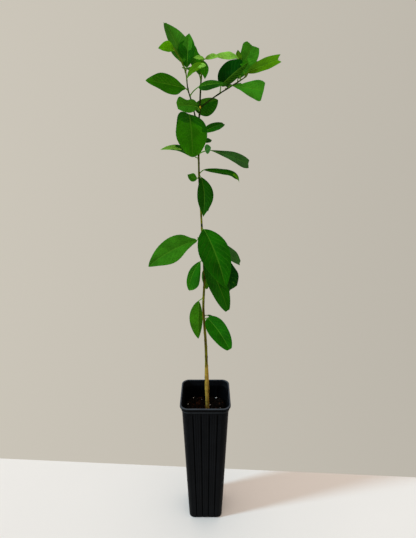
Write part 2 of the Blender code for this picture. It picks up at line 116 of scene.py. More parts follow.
@dataclass
class Leaf:
    """One leaf: a stalk that leaves its limb at a height, and a blade along its own bearing.

    finish names its colours. pitch is the blade's mean angle above level, and bend is how far it droops
    from foot to tip. sweep turns it sideways along its length, and roll tips it about its midrib. A
    lower taper gives a fuller outline, a higher wide moves its widest place towards the tip, draw
    pinches the tip, skew makes its right half wider than its left, and cut ends it short. curl turns
    the tip down, and end and notch make it blunt or notched. Each of dents widens one margin, -1 or 1,
    or both for 0: a share of the length, the margin, how much, and over what share. Past the share
    tip_from, the blade has the finish tip.
    """

    finish: str
    height: float
    bearing: float
    rise: float
    stalk: float
    facing: float
    pitch: float
    length: float
    width: float
    bend: float = 20.0
    sweep: float = 0.0
    roll: float = 0.0
    taper: float = 0.78
    wide: float = 0.88
    draw: float = 0.30
    skew: float = 0.0
    cut: float = 0.0
    curl: float = 0.0
    end: float = 0.04
    notch: float = 0.0
    dents: tuple = ()
    tip: str = ""
    tip_from: float = 1.0


# Leaves borne singly, by the limb that carries each and by the solid that each stands for.
SINGLE_LEAVES = {
    "trunk": {
        "leaf_low_left": Leaf(
            "fresh", 518, 165, -35, 12, 95, -80, 92, 27, bend=14, taper=0.7, wide=1.0, draw=0.1, skew=-0.35
        ),
        "leaf_low_right": Leaf(
            "deep", 473, 330, 30, 9, 305, -28, 80, 37, bend=30, roll=40, taper=0.55, draw=0.0, cut=0.03,
            end=0.2,
        ),
        "leaf_low_back": Leaf("deep", 480, 40, -10, 10, 30, -50, 64, 28, bend=30),
        "leaf_mid_left": Leaf(
            "soft", 641, 198, -38, 13, 205, -23, 100, 45, bend=26, roll=-50, taper=0.7, wide=0.82,
            draw=0.15, dents=((0.06, 0, -0.4, 0.1), (0.2, -1, -0.4, 0.2), (0.7, -1, 0.2, 0.2)),
        ),
        "leaf_mid_front": Leaf(
            "deep", 651, 290, 20, 12, 300, -51, 114, 55, bend=32, roll=17, draw=0.1, skew=0.11
        ),
        "leaf_mid_under": Leaf(
            "deep", 598, 300, -10, 9, 325, -62, 100, 48, roll=10, taper=0.6, draw=0.0, skew=0.25, cut=0.03,
            end=0.2,
        ),
        # This leaf's green is darkened by painted shade.
        "leaf_mid_shade": Leaf(
            "shade", 604, 36, -12, 12, 14, -61, 86, 47, bend=34, roll=50, taper=0.6, draw=0.0, skew=-0.1,
            cut=0.16, dents=((0.85, -1, 0.3, 0.2),),
        ),
        "leaf_mid_grey": Leaf(
            "dusty", 625, 60, 0, 12, 28, -36, 91, 31, roll=50, taper=0.6, cut=0.12,
            dents=((0.85, -1, 0.35, 0.15),),
        ),
        "leaf_mid_behind": Leaf(
            "deep", 594, 160, -20, 7, 166, -70, 64, 39, bend=30, roll=-58, taper=0.65, wide=1.15, draw=0.0,
            skew=-0.5, end=0.2,
        ),
        "leaf_mid_strip": Leaf("olive", 576, 75, 0, 8, 80, -75, 49, 18, bend=16, cut=0.08),
        "leaf_mid_back": Leaf("deep", 636, 100, -10, 10, 75, -38, 80, 34, bend=30),
        "leaf_high_front": Leaf(
            "dim", 746, 320, -10, 4, 272, -62, 71, 29, sweep=-50, wide=0.98, taper=0.8, skew=-0.12
        ),
        "leaf_high_bud": Leaf("soft", 743, 200, 0, 4, 190, 24, 18, 15, bend=-40, roll=-70),
        "leaf_high_right": Leaf(
            "deep", 750, 20, 38, 11, 5, -10, 71, 15, bend=6, roll=34, taper=0.45, wide=1.2, draw=0.1,
            curl=80, dents=((0.8, 1, 0.9, 0.12), (1.0, 0, -0.95, 0.1)), tip="lime", tip_from=0.78,
        ),
        "leaf_high_back": Leaf("deep", 738, 80, -10, 8, 60, -66, 64, 24),
        "leaf_top_right": Leaf(
            "dusty", 784, 15, 15, 21, 10, -20, 72, 28, bend=12, roll=40, taper=0.6, wide=1.7, draw=0.0,
            skew=0.15, cut=0.12, dents=((0.85, 1, 0.4, 0.2),),
        ),
        "leaf_top_small": Leaf("dusty", 783, 318, 20, 17, 330, 30, 12, 17, bend=10, roll=70, taper=0.5),
        "leaf_top_left": Leaf(
            "deep", 775, 205, 30, 6, 205, 10, 66, 20, bend=50, roll=-30, wide=1.0, draw=0.5,
            dents=((0.3, -1, 1.4, 0.22),), tip="pale", tip_from=0.56,
        ),
        "leaf_top_dark": Leaf("deep", 801, 20, 10, 8, 60, 4, 31, 12, bend=16, roll=40),
        "leaf_top_back": Leaf(
            "deep", 814, 40, 20, 12, 45, 15, 51, 20, bend=16, roll=34, taper=0.65, draw=0.0, skew=0.25,
            cut=0.06,
        ),
        "leaf_fork_right": Leaf(
            "deep", 852, 165, 30, 13, 40, 11, 56, 29, bend=13, roll=92, taper=0.58, draw=0.1, skew=0.5
        ),
        "leaf_fork_left": Leaf(
            "soft", 851, 256, 26, 14, 196, 0, 34, 25, bend=30, roll=-78, taper=0.6, cut=0.12,
            dents=((0.5, 1, -0.35, 0.18), (0.88, 1, 0.6, 0.14)),
        ),
    },
    "bough_left": {
        "leaf_fork_front": Leaf(
            "deep", 838, 227, 28, 17, 279, -62, 77, 54, bend=56, roll=-20, taper=0.5, draw=0.0, skew=0.04,
            dents=((0.7, 1, 0.25, 0.2),), tip="fresh", tip_from=0.3,
        ),
    },
}

# The leaves of each mass, in the same form.
MASS_LEAVES = {
    "crown_left": (
        Leaf(
            "dim", 873, 318, 34, 24, 306, -1, 70, 15, bend=10, roll=75, taper=0.8, wide=0.72, draw=0.6,
            skew=0.2,
        ),
        Leaf(
            "fresh", 880, 200, 45, 7, 215, 6, 70, 33, bend=6, roll=-72, taper=0.72, draw=0.15, skew=-0.08,
            dents=((0.07, 0, -0.4, 0.12), (0.25, 1, -0.2, 0.2), (0.7, 1, 0.1, 0.15), (0.75, -1, -0.2, 0.2)),
        ),
        Leaf(
            "olive", 897, 290, 40, 5, 330, 20, 38, 19, bend=56, roll=52, taper=0.6, tip="pale", tip_from=0.7
        ),
        Leaf(
            "deep", 908, 60, 60, 8, 84, 60, 60, 28, bend=10, skew=-0.15, tip="soft", tip_from=0.56
        ),
        Leaf(
            "soft", 918, 100, 30, 6, 126, 50, 82, 37, bend=10, sweep=20, taper=0.65, wide=1.1, draw=0.0,
            skew=0.18, end=0.2, dents=((0.12, -1, 0.9, 0.16),),
        ),
        Leaf("lime", 936, 170, 30, 3, 185, 6, 24, 18, bend=10, roll=-60, skew=0.38),
        Leaf("deep", 913, 92, 0, 7, 76, 0, 31, 16, bend=30),
    ),
    "crown_top": (
        Leaf(
            "fresh", 890, 120, 75, 17, 108, 57, 58, 27, bend=10, sweep=-40, dents=((0.7, 1, -0.35, 0.18),)
        ),
        Leaf("fresh", 925, 300, 10, 5, 280, -65, 30, 14, bend=10),
        Leaf("pale", 926, 280, 5, 18, 182, 4, 16, 9, bend=10, roll=-50),
        Leaf("pale", 926, 340, 30, 6, 0, 8, 24, 12, bend=20, roll=48),
        Leaf("deep", 905, 90, 30, 8, 84, 10, 46, 20, bend=40),
    ),
    "crown_right": (
        # Painted shade on this leaf, with its tip lighter where it comes into the light.
        Leaf(
            "shade", 879, 280, 60, 13, 358, 38, 54, 32, bend=10, roll=-96, taper=0.5, skew=0.42,
            tip="fresh", tip_from=0.84,
        ),
        Leaf("deep", 884, 60, 20, 12, 70, 0, 60, 28, bend=40),
        Leaf(
            "soft", 887, 300, 28, 8, 345, -9, 55, 31, bend=0, roll=72, taper=0.75, wide=2.0, draw=0.0,
            skew=0.08, cut=0.14, dents=((1.0, 1, 0.35, 0.15),),
        ),
        Leaf(
            "soft", 896, 80, 50, 8, 55, 50, 70, 33, bend=10, roll=42, taper=0.6, wide=1.1, draw=0.0,
            skew=0.1, cut=0.16, dents=((0.4, -1, -0.3, 0.25), (0.9, -1, 0.25, 0.12)),
        ),
        Leaf("pale", 899, 120, 75, 36, 170, 4, 40, 17, bend=10, roll=-50),
        Leaf("olive", 905, 150, 60, 24, 92, 40, 36, 10, bend=10),
        Leaf(
            "olive", 906, 320, 65, 6, 335, 17, 58, 21, bend=0, roll=68, taper=0.6, draw=0.0, cut=0.17,
            notch=6,
        ),
        Leaf("deep", 906, 60, 40, 12, 40, 15, 52, 24, roll=30),
    ),
}


# ------------------------------------------------------------------- the user's settings


def length(name, description, default):
    """A setting that is a length in metres."""
    return FloatProperty(name=name, description=description, default=default, unit="LENGTH", precision=5)


def colour(name, description, default):
    """A setting that is a colour."""
    return FloatVectorProperty(
        name=name, description=description, default=default, subtype="COLOR", size=3, min=0.0, max=2.0
    )


class SAPLING_PG_pot(bpy.types.PropertyGroup):
    """Sizes and colours of the nursery pot."""

    rim_width: length("Rim width", "Outer width of the rolled lip", POT_HIGH.x - POT_LOW.x)
    height: length("Height", "Height of the lip above the floor", POT_HIGH.z)
    neck_width: length("Neck width", "Outer width of the wall under the collar", 0.0936)
    foot_width: length("Foot width", "Outer width of the wall at its foot", 0.0725)
    wall: length("Wall", "Thickness of the wall", 0.0018)
    flute_depth: length("Flute depth", "Depth of the V-shaped flutes", 0.0014)
    rib_height: length("Rib height", "Height of the fine ribs between the flutes", 0.00045)
    plastic: colour("Plastic", "Colour of the pot", (0.0017, 0.0021, 0.0027))
    # Edge: a painted highlight along the top and the inner round of the rolled lip.
    edge: colour("Edge", "Colour of the rolled lip's upper edge", (0.050, 0.060, 0.073))
    # Highlight: a painted highlight on the collar's lower part and on the lip's inside face.
    worn: colour("Worn plastic", "Colour of the collar's foot", (0.0180, 0.0215, 0.0245))
    # Sheen: a painted sheen on the ribs' tops, the lip's outer face and the inside under the lip.
    crest: colour("Crest", "Colour of the ribs' crests", (0.0040, 0.0048, 0.0060))
    # Groove: painted shade down in the flutes, round the collar's foot and up under the lip.
    groove: colour("Groove", "Colour down in the flutes", (0.0006, 0.0007, 0.0009))
    dust: colour("Dust", "Colour of the dust on the rim and the ledges", (0.06, 0.055, 0.05))


class SAPLING_PG_mix(bpy.types.PropertyGroup):
    """Sizes and colours of the growing mix."""

    bump: length("Bump", "How far the surface rises and falls", 0.0020)
    chips: IntProperty(name="Chips", description="Number of bark chips on the surface", default=900)
    chip_size: length("Chip size", "Half the length of a large bark chip", 0.0036)
    grains: IntProperty(name="Grains", description="Number of white grains on the surface", default=26)
    peat: colour("Peat", "Colour of the fine growing mix", (0.0034, 0.0021, 0.0014))
    dark_bark: colour("Dark bark", "Colour of most bark chips", (0.0055, 0.0031, 0.0019))
    red_bark: colour("Red bark", "Colour of the fresher bark chips", (0.034, 0.011, 0.005))
    perlite: colour("Perlite", "Colour of the white grains", (0.62, 0.60, 0.56))


class SAPLING_PG_stem(bpy.types.PropertyGroup):
    """Sizes and colours of the bark."""

    relief: length("Relief", "Depth of the bark's furrows at the foot", 0.00026)
    knuckle: length("Knuckle", "How far the stem swells where a leaf leaves it", 0.00055)
    old_bark: colour("Old bark", "Colour of the bark at the foot", (0.310, 0.210, 0.035))
    brown_bark: colour("Brown bark", "Colour of the dark mottles", (0.048, 0.034, 0.005))
    green_bark: colour("Green bark", "Colour of the green stretches", (0.120, 0.125, 0.006))
    young_bark: colour("Young bark", "Colour of the bark near the fork", (0.010, 0.020, 0.002))
    tip_bark: colour("Tip bark", "Colour of the boughs' ends", (0.070, 0.130, 0.006))
    bud: colour("Bud", "Colour of the buds where the leaves leave the stem", (0.130, 0.190, 0.012))
    yellow_bud: colour("Yellow bud", "Colour of the bud where the right bough leaves", (0.48, 0.36, 0.02))


class SAPLING_PG_leaf(bpy.types.PropertyGroup):
    """Sizes and colours of the leaves."""

    thickness: length("Thickness", "Thickness of a blade", 0.00036)
    quilting: length("Quilting", "Depth of the side veins in the blade", 0.00055)
    wave: length("Wave", "Rise and fall of a blade's edges", 0.0011)
    veins: IntProperty(name="Veins", description="Pairs of side veins on a blade", default=9)
    fresh: colour("Fresh", "Mid green leaves", (0.020, 0.155, 0.0004))
    deep: colour("Deep", "Dark green leaves", (0.007, 0.088, 0.0004))
    dim: colour("Dim", "Leaves darker than the deep ones", (0.005, 0.054, 0.0004))
    # Shade: painted shade, the darkest green, for leaves that lie in shade.
    shade: colour("Shade", "Darkest leaves", (0.001, 0.036, 0.0004))
    # Dusty: the grey of these leaves is a painted sheen.
    dusty: colour("Dusty", "Greyish leaves", (0.026, 0.102, 0.018))
    soft: colour("Soft", "Light green leaves", (0.032, 0.180, 0.006))
    olive: colour("Olive", "Yellowish leaves", (0.056, 0.170, 0.0004))
    lime: colour("Lime", "Youngest leaves", (0.080, 0.300, 0.0006))
    pale: colour("Pale", "Leaves that show a bleached face", (0.200, 0.460, 0.050))
    underside: colour("Underside", "What an underside's colour leans to", (0.050, 0.190, 0.006))
    rib: colour("Rib", "What a midrib's colour leans to", (0.120, 0.330, 0.020))


class SAPLING_PG_studio(bpy.types.PropertyGroup):
    """Colours and lights of the studio."""

    wall: colour("Wall", "Colour of the wall", (0.557, 0.521, 0.451))
    table: colour("Table", "Colour of the table", (0.84, 0.83, 0.80))
    key_power: FloatProperty(name="Key", description="Strength of the key light", default=2.08)
    key_colour: colour("Key colour", "Colour of the key light", (0.68, 1.0, 1.2))
    dome: FloatProperty(name="Dome", description="Strength of the light from all round", default=0.80)
    dome_colour: colour("Dome colour", "Colour of the light from all round", (1.0, 0.86, 0.77))


# ------------------------------------------------------------------------ making pieces


def in_scene(name, data):
    """An object with the given data, linked into the scene."""
    made = bpy.data.objects.new(name, data)
    bpy.context.scene.collection.objects.link(made)
    return made


class Piece:
    """A piece of the object in the making: one bmesh, and the materials that its faces use."""

    def __init__(self, name):
        self.name = name
        self.shape = new_part()
        self.materials = []

    def slot(self, material):
        """The index of a material among the piece's own."""
        if material not in self.materials:
            self.materials.append(material)
        return self.materials.index(material)

    def take(self, part, *materials):
        """Adds a part, whose faces' indices count among the given materials, and frees it."""
        slots = [self.slot(material) for material in materials]
        for face in part.faces:
            face.material_index = slots[face.material_index]
        carrier = bpy.data.meshes.new("part")
        part.to_mesh(carrier)
        part.free()
        self.shape.from_mesh(carrier)
        bpy.data.meshes.remove(carrier)

    def stand(self, record_slot, *nodes):
        """Makes the object, which rides on the plant's one body and stands for the given solids."""
        mesh = bpy.data.meshes.new(self.name)
        self.shape.to_mesh(mesh)
        self.shape.free()
        for material in self.materials:
            mesh.materials.append(material)
        mesh.shade_smooth()
        mesh.set_sharp_from_angle(angle=SHARP_ANGLE)
        made = in_scene(self.name, mesh)
        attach(made, "root")
        if nodes:
            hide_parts(*nodes)
        return made


def new_part():
    """An empty shape with the map that a blade's pattern reads."""
    part = bmesh.new()
    part.loops.layers.uv.new("blade")
    return part


def rolled_grid(columns, rows, place):
    """A grid rolled up into a tube, each vertex moved to place(column, row), with both ends open."""
    part = new_part()
    bmesh.ops.create_grid(part, x_segments=columns, y_segments=rows, size=0.5, calc_uvs=True)
    for vert in part.verts:
        column = round((vert.co.x + 0.5) * columns) % columns
        vert.co = place(column, round((vert.co.y + 0.5) * rows))
    bmesh.ops.remove_doubles(part, verts=part.verts, dist=SEAM)
    return part


def wrapped_grid(columns, rows, place):
    """A rolled grid whose open ends are capped, so that it is a closed shape."""
    part = rolled_grid(columns, rows, place)
    ends = [edge for edge in part.edges if edge.is_boundary]
    bmesh.ops.holes_fill(part, edges=ends, sides=columns)
    bmesh.ops.recalc_face_normals(part, faces=part.faces)
    return part


def direction(bearing, pitch):
    """The unit vector at a bearing and an angle above level."""
    turn, lift = math.radians(bearing), math.radians(pitch)
    return Vector(
        (math.cos(lift) * math.cos(turn), math.cos(lift) * math.sin(turn), math.sin(lift))
    )


def smooth_route(knots, step):
    """Points about a step apart on a smooth curve through the knots."""
    knots = [Vector(knot) * MM for knot in knots]
    ends = [2 * knots[0] - knots[1], *knots, 2 * knots[-1] - knots[-2]]
    points = [knots[0]]
    for a, b, c, d in zip(ends, ends[1:], ends[2:], ends[3:]):
        steps = max(2, round((c - b).length / step))
        for k in range(1, steps + 1):
            t = k / steps
            curve = 2 * b + (c - a) * t + (2 * a - 5 * b + 4 * c - d) * t**2
            points.append((curve + (3 * b - a - 3 * c + d) * t**3) / 2)
    return points


def carried_frames(points):
    """For each point of a route, two directions across it that don't twist along it."""
    frames = []
    side = None
    for i in range(len(points)):
        along = (points[min(i + 1, len(points) - 1)] - points[max(i - 1, 0)]).normalized()
        side = along.orthogonal() if side is None else side - along * side.dot(along)
        side.normalize()
        frames.append((side.copy(), along.cross(side)))
    return frames


def tube(points, sides, radius):
    """A closed tube round a route. radius(i, out) is its size at point i in the direction out."""
    frames = carried_frames(points)

    def place(column, row):
        turn = math.tau * column / sides
        side, other = frames[row]
        out = side * math.cos(turn) + other * math.sin(turn)
        return points[row] + out * radius(row, out)

    return wrapped_grid(sides, len(points) - 1, place)


class Limb:
    """A tapering limb along a smooth route, thicker by a flare at its foot and by a graft over it."""

    def __init__(self, knots, foot_radius, tip_radius, flare=0.0, graft=0.0):
        self.points = smooth_route(knots, ROUTE_STEP)
        self.lengths = [0.0]
        for a, b in zip(self.points, self.points[1:]):
            self.lengths.append(self.lengths[-1] + (b - a).length)
        self.foot_radius = foot_radius
        self.tip_radius = tip_radius
        self.flare = flare
        self.graft = graft
        self.leaf_feet = []

    def radius(self, here):
        """The limb's radius at a length along it."""
        taper = math.exp(-TAPER * here / self.lengths[-1])
        flare = self.flare * math.exp(-here / FLARE_HEIGHT)
        graft = self.graft * math.exp(-(((here - GRAFT_HEIGHT) / GRAFT_SPREAD) ** 4))
        return self.tip_radius + (self.foot_radius - self.tip_radius) * taper + flare + graft

    def index_at(self, height):
        """The first of the route's points that reaches a height."""
        found = [i for i, point in enumerate(self.points) if point.z >= height]
        return found[0] if found else len(self.points) - 1

    def at_height(self, height):
        """The point of the route at a height."""
        i = max(self.index_at(height), 1)
        low, high = self.points[i - 1], self.points[i]
        return low.lerp(high, min((height - low.z) / (high.z - low.z), 1.0))


MASS_CARRIERS = {"crown_top": "trunk", "crown_left": "bough_left", "crown_right": "bough_right"}


def the_limbs():
    """The trunk and the two boughs, with the height and bearing at which each leaf leaves them."""
    limbs = {
        "trunk": Limb(TRUNK_ROUTE, TRUNK_FOOT_RADIUS, LEADER_TIP_RADIUS, FLARE_RADIUS, GRAFT_RADIUS),
        "bough_left": Limb(LEFT_ROUTE, BOUGH_FOOT_RADIUS, BOUGH_TIP_RADIUS),
        "bough_right": Limb(RIGHT_ROUTE, BOUGH_FOOT_RADIUS, BOUGH_TIP_RADIUS),
    }
    for mass, carrier in MASS_CARRIERS.items():
        leaves = [*SINGLE_LEAVES.get(carrier, {}).values(), *MASS_LEAVES[mass]]
        limbs[carrier].leaf_feet = [(leaf.height, leaf.bearing) for leaf in leaves]
    return limbs


# -------------------------------------------------------------------------- shader nodes


class Nodes:
    """Adds nodes to a tree. An input is a value or another node's output."""

    def __init__(self, tree):
        self.tree = tree

    def add(self, kind, inputs, **settings):
        """A new node with the given inputs and settings."""
        node = self.tree.nodes.new(kind)
        for name, value in settings.items():
            setattr(node, name, value)
        for key, value in inputs.items():
            self.feed(node, key, value)
        return node

    def feed(self, node, key, value):
        """Links an input to an output, or sets it to a value."""
        if isinstance(value, bpy.types.NodeSocket):
            self.tree.links.new(value, node.inputs[key])
        else:
            node.inputs[key].default_value = value

    def math(self, operation, *values):
        """What a Math node makes of its values."""
        return self.add("ShaderNodeMath", dict(enumerate(values)), operation=operation).outputs[0]

    def weigh(self, a, a_share, b, b_share):
        """Two values added up, each times its share."""
        return self.math("MULTIPLY_ADD", a, a_share, self.math("MULTIPLY", b, b_share))

    def ramp(self, value, low, high, to_low=0.0, to_high=1.0):
        """Goes smoothly from to_low to to_high as the value goes from low to high."""
        ends = dict(enumerate((value, low, high, to_low, to_high)))
        return self.add("ShaderNodeMapRange", ends, interpolation_type="SMOOTHSTEP").outputs[0]

    def fade(self, value, low, high):
        """Goes smoothly from 1 to 0 as the value goes from low to high."""
        return self.ramp(value, low, high, 1.0, 0.0)

    def blend(self, share, a, b, how="MIX"):
        """Colour a, blended with colour b by a share."""
        sides = {0: share, 6: a, 7: b}
        return self.add("ShaderNodeMix", sides, data_type="RGBA", blend_type=how).outputs[2]

    def shade(self, rgb, level):
        """A colour made darker or lighter by a level, where 1 leaves it as it is."""
        grey = self.add("ShaderNodeCombineColor", {0: level, 1: level, 2: level}).outputs[0]
        return self.blend(1.0, rgb, grey, "MULTIPLY")

    def axes(self, vector):
        """A vector's three parts."""
        return self.add("ShaderNodeSeparateXYZ", {0: vector}).outputs

    def place(self, scale=(1.0, 1.0, 1.0)):
        """The place on the object, scaled along each axis."""
        here = self.add("ShaderNodeTexCoord", {}).outputs["Object"]
        return self.add("ShaderNodeMapping", {"Vector": here, "Scale": scale}).outputs[0]

    def noise(self, where, scale, detail=3.0):
        """Soft noise about 0.5."""
        inputs = {"Vector": where, "Scale": scale, "Detail": detail}
        return self.add("ShaderNodeTexNoise", inputs).outputs[0]

    def cells(self, where, scale, feature="F1"):
        """How far a place is from the middle or the edge of its cell."""
        inputs = {"Vector": where, "Scale": scale}
        return self.add("ShaderNodeTexVoronoi", inputs, feature=feature).outputs[0]

    def bump(self, height, distance):
        """A normal from a height between 0 and 1 that stands for a distance."""
        return self.add("ShaderNodeBump", {"Height": height, "Distance": distance}).outputs[0]

    def group(self, build, inputs):
        """The outputs of a node group, which build makes the first time that it is asked for."""
        tree = bpy.data.node_groups.get(build.__name__) or build()
        return self.add("ShaderNodeGroup", inputs, node_tree=tree).outputs


def solid(rgb):
    """A colour with full cover."""
    return (*rgb, 1.0)


def lean(rgb, towards, share):
    """A colour moved a share of the way towards another."""
    return tuple(a + (b - a) * share for a, b in zip(rgb, towards))


def new_group(name, inputs, outputs):
    """A shader node group with the given sockets, each a name and a kind."""
    group = bpy.data.node_groups.new(name, "ShaderNodeTree")
    for in_out, sockets in (("INPUT", inputs), ("OUTPUT", outputs)):
        for socket, kind in sockets.items():
            group.interface.new_socket(name=socket, in_out=in_out, socket_type=f"NodeSocket{kind}")
    nodes = Nodes(group)
    return group, nodes, nodes.add("NodeGroupInput", {}).outputs, nodes.add("NodeGroupOutput", {})


def new_material(name, roughness, specular, build):
    """A material whose Principled shader gets what build(nodes) returns for its inputs."""
    made = bpy.data.materials.new(name)
    made.use_nodes = True
    shader = made.node_tree.nodes["Principled BSDF"]
    shader.inputs["Roughness"].default_value = roughness
    shader.inputs["Specular IOR Level"].default_value = specular
    nodes = Nodes(made.node_tree)
    for key, value in build(nodes).items():
        nodes.feed(shader, key, value)
    return made


# How much of the mottle is patches, and the range of its noise that spans its depth.
PATCH_SHARE = 0.6
MOTTLE_RANGE = (0.36, 0.64)


def mottle():
    """Uneven colour: lighter and darker in soft patches and fine grains, by the Depth."""
    group, nodes, given, out = new_group(
        "mottle",
        {"Color": "Color", "Patches": "Float", "Grains": "Float", "Depth": "Float"},
        {"Color": "Color", "Grain": "Float"},
    )
    place = nodes.place()
    patches = nodes.noise(place, given["Patches"])
    grains = nodes.noise(place, given["Grains"], detail=2.0)
    both = nodes.weigh(patches, PATCH_SHARE, grains, 1 - PATCH_SHARE)
    low = nodes.math("SUBTRACT", 1.0, given["Depth"])
    high = nodes.math("ADD", 1.0, given["Depth"])
    level = nodes.ramp(both, *MOTTLE_RANGE, low, high)
    nodes.feed(out, "Color", nodes.shade(given["Color"], level))
    nodes.feed(out, "Grain", grains)
    return group


def mottled(nodes, rgb, patches, grains, depth):
    """The mottle's Color and Grain on a colour, with the scales of its patches and grains."""
    return nodes.group(mottle, {"Color": rgb, "Patches": patches, "Grains": grains, "Depth": depth})


# A blade's pattern: how far its side veins lean towards the tip and sway, how soft they and the midrib
# are at their edges and ends, and how deep the veins and the fine net between them are. Its roughness
# follows the grain.
VEIN_LEAN = 0.30
VEIN_SWAY = 0.5
VEIN_EDGE = (0.02, 0.12)
VEIN_END = (0.7, 1.0)
VEIN_DEPTH = 0.6
MIDRIB_EDGE = (0.02, 0.075)
SIDE_VEIN_SHOW = 0.45
NET_EDGE = (0.0, 0.12)
NET_HEIGHT = 0.4
GRAIN_RANGE = (0.3, 0.7)
BLADE_ROUGHNESS = (0.50, 0.64)


def tissue():
    """A blade's look: its Color with veins, its Roughness, and a Height with its veins sunk in it.

    It reads the blade's own map, which runs across the blade from 0 to 1 and along it from foot to tip.
    """
    group, nodes, given, out = new_group(
        "tissue",
        {"Color": "Color", "Vein": "Color", "Veins": "Float", "Show": "Float"},
        {"Color": "Color", "Roughness": "Float", "Height": "Float"},
    )
    across, along, _ = nodes.axes(nodes.add("ShaderNodeUVMap", {}, uv_map="blade").outputs[0])
    away = nodes.math("ABSOLUTE", nodes.math("MULTIPLY_ADD", across, 2.0, -1.0))
    place = nodes.place()
    sway = nodes.math("MULTIPLY", nodes.noise(place, scale=160.0, detail=1.0), VEIN_SWAY)
    rank = nodes.math("MULTIPLY_ADD", away, -VEIN_LEAN, along)
    phase = nodes.math("MULTIPLY_ADD", rank, given["Veins"], sway)
    off = nodes.math("PINGPONG", phase, 0.5)
    side_vein = nodes.math("MULTIPLY", nodes.fade(off, *VEIN_EDGE), nodes.fade(away, *VEIN_END))
    midrib = nodes.fade(away, *MIDRIB_EDGE)
    line = nodes.math("MAXIMUM", nodes.math("MULTIPLY", side_vein, SIDE_VEIN_SHOW), midrib)
    soft = mottled(nodes, given["Color"], patches=40.0, grains=620.0, depth=0.28)
    share = nodes.math("MULTIPLY", line, given["Show"])
    nodes.feed(out, "Color", nodes.blend(share, soft["Color"], given["Vein"]))
    nodes.feed(out, "Roughness", nodes.ramp(soft["Grain"], *GRAIN_RANGE, *BLADE_ROUGHNESS))
    net = nodes.ramp(nodes.cells(place, scale=620.0, feature="DISTANCE_TO_EDGE"), *NET_EDGE)
    raised = nodes.weigh(side_vein, -VEIN_DEPTH, net, NET_HEIGHT)
    nodes.feed(out, "Height", nodes.math("ADD", raised, VEIN_DEPTH))
    return group


# ------------------------------------------------------------------------ the pot

# Shapes of the pot that follow from its driving sizes, and the steps in which its curves are cut.
CORNER_SHARE = 0.30
CORNER_STOPS = 14
FLUTES = 4
FLUTE_PITCH_SHARE = 0.355
FLUTE_WIDTH = 0.0028
FLUTE_STOPS = (-1.0, -0.8, -0.6, -0.4, -0.2, 0.0, 0.2, 0.4, 0.6, 0.8, 1.0)
PANEL_RIBS = 3
PANEL_STOPS = 15
FLOOR = 0.0025
FOOT_ROUND = 0.0040
LIP_HEIGHT = 0.0045
COLLAR_HEIGHT = 0.0075
COLLAR_STEP = 0.0016
COLLAR_STEPS = 8
# How many of the collar's steps, from its foot up, take the painted highlight.
COLLAR_HIGHLIGHT_STEPS = 3
COLLAR_ROUND_STEPS = 4
COLLAR_GAP = 0.0020
LIP_WALL = 0.0028
LIP_STEPS = (5, 6, 4)
# How many lip steps, from its foot up, take the painted sheen before its top's painted highlight.
LIP_DARK_STEPS = 9
LIP_ROUND = 0.0014
SMALL_ROUND = 0.0005
LIP_GAP = 0.00025
WALL_STEPS = 56

# How deep the flutes are at each ring round the foot, how soon the ribs and flutes fade towards the ends
# of the wall, and how far up the rings of the inside lie.
FOOT_FLUTING = (0.2, 0.4, 0.8, 1, 1, 1, 1, 1)
RIB_FADE_IN = 8
RIB_FADE_OUT = 60
FLUTE_FADE = 60
INNER_SHARES = (0.95, 0.9, 0.8, 0.6, 0.3, 0.0)

# The pot's materials by their index: plain plastic, a painted highlight, painted shade, a painted
# sheen, and the lip top's painted highlight; and what counts as the top of a rib or the bottom of a flute.
PLAIN, HIGHLIGHT, GROOVE_SHADE, SHEEN, EDGE_HIGHLIGHT = range(5)
CREST_FROM = 0.5
GROOVE_SHARE = 0.55

# The drain holes through the floor.
DRAIN_DIAMETER = 0.009
DRAIN_DISTANCE = 0.029
DRAIN_SIDES = 32

# How much dust lies on a ledge and in a scuff, how much of the relief is lines of the mould, what makes
# the plastic dullest, and how rough it is.
LEDGE_DUST = 0.30
SCUFF_DUST = 0.035
MOULD_SHARE = 0.7
DULL_MOST = 1.6
PLASTIC_ROUGHNESS = (0.36, 0.62)


def ribbed_side(half, flute, rib):
    """One side of a rounded square: places along it, each with how far out it lies and its paint,
    which is plain, painted sheen on the top of a rib, or painted shade down in a flute.

    flute is the depth of its V-shaped grooves here, and rib the height of the fine ribs between them.
    """
    straight = half * (1 - CORNER_SHARE)
    pitch = half * FLUTE_PITCH_SHARE
    centres = [(k - (FLUTES - 1) / 2) * pitch for k in range(FLUTES)]
    edges = [-straight] + [c + s * FLUTE_WIDTH / 2 for c in centres for s in (-1, 1)] + [straight]
    side = []
    for k in range(FLUTES + 1):
        start, end = edges[2 * k], edges[2 * k + 1]
        for i in range(1 if k else 0, PANEL_STOPS + (1 if k == FLUTES else 0)):
            share = i / PANEL_STOPS
            wave = max(0.0, -math.cos(math.tau * PANEL_RIBS * share)) ** 2
            # The tops of the ribs take a painted sheen.
            paint = SHEEN if wave > CREST_FROM else PLAIN
            side.append((start + (end - start) * share, half + rib * wave, paint))
        if k < FLUTES:
            for s in FLUTE_STOPS:
                # Down in a flute the plastic takes painted shade.
                paint = GROOVE_SHADE if abs(s) < GROOVE_SHARE else PLAIN
                side.append((centres[k] + s * FLUTE_WIDTH / 2, half - flute * (1 - abs(s)), paint))
    corner = half - straight
    for k in range(1, CORNER_STOPS):
        angle = math.radians(90 * k / CORNER_STOPS)
        side.append((straight + corner * math.sin(angle), straight + corner * math.cos(angle), PLAIN))
    return side


def ribbed_ring(half, height, flute=0.0, rib=0.0):
    """The four sides as one ring at a height."""
    side = ribbed_side(half, flute, rib)
    ring = []
    for turn in range(4):
        around = Matrix.Rotation(math.radians(90 * turn), 3, "Z")
        ring += [around @ Vector((out, along, height)) for along, out, _ in side]
    return ring


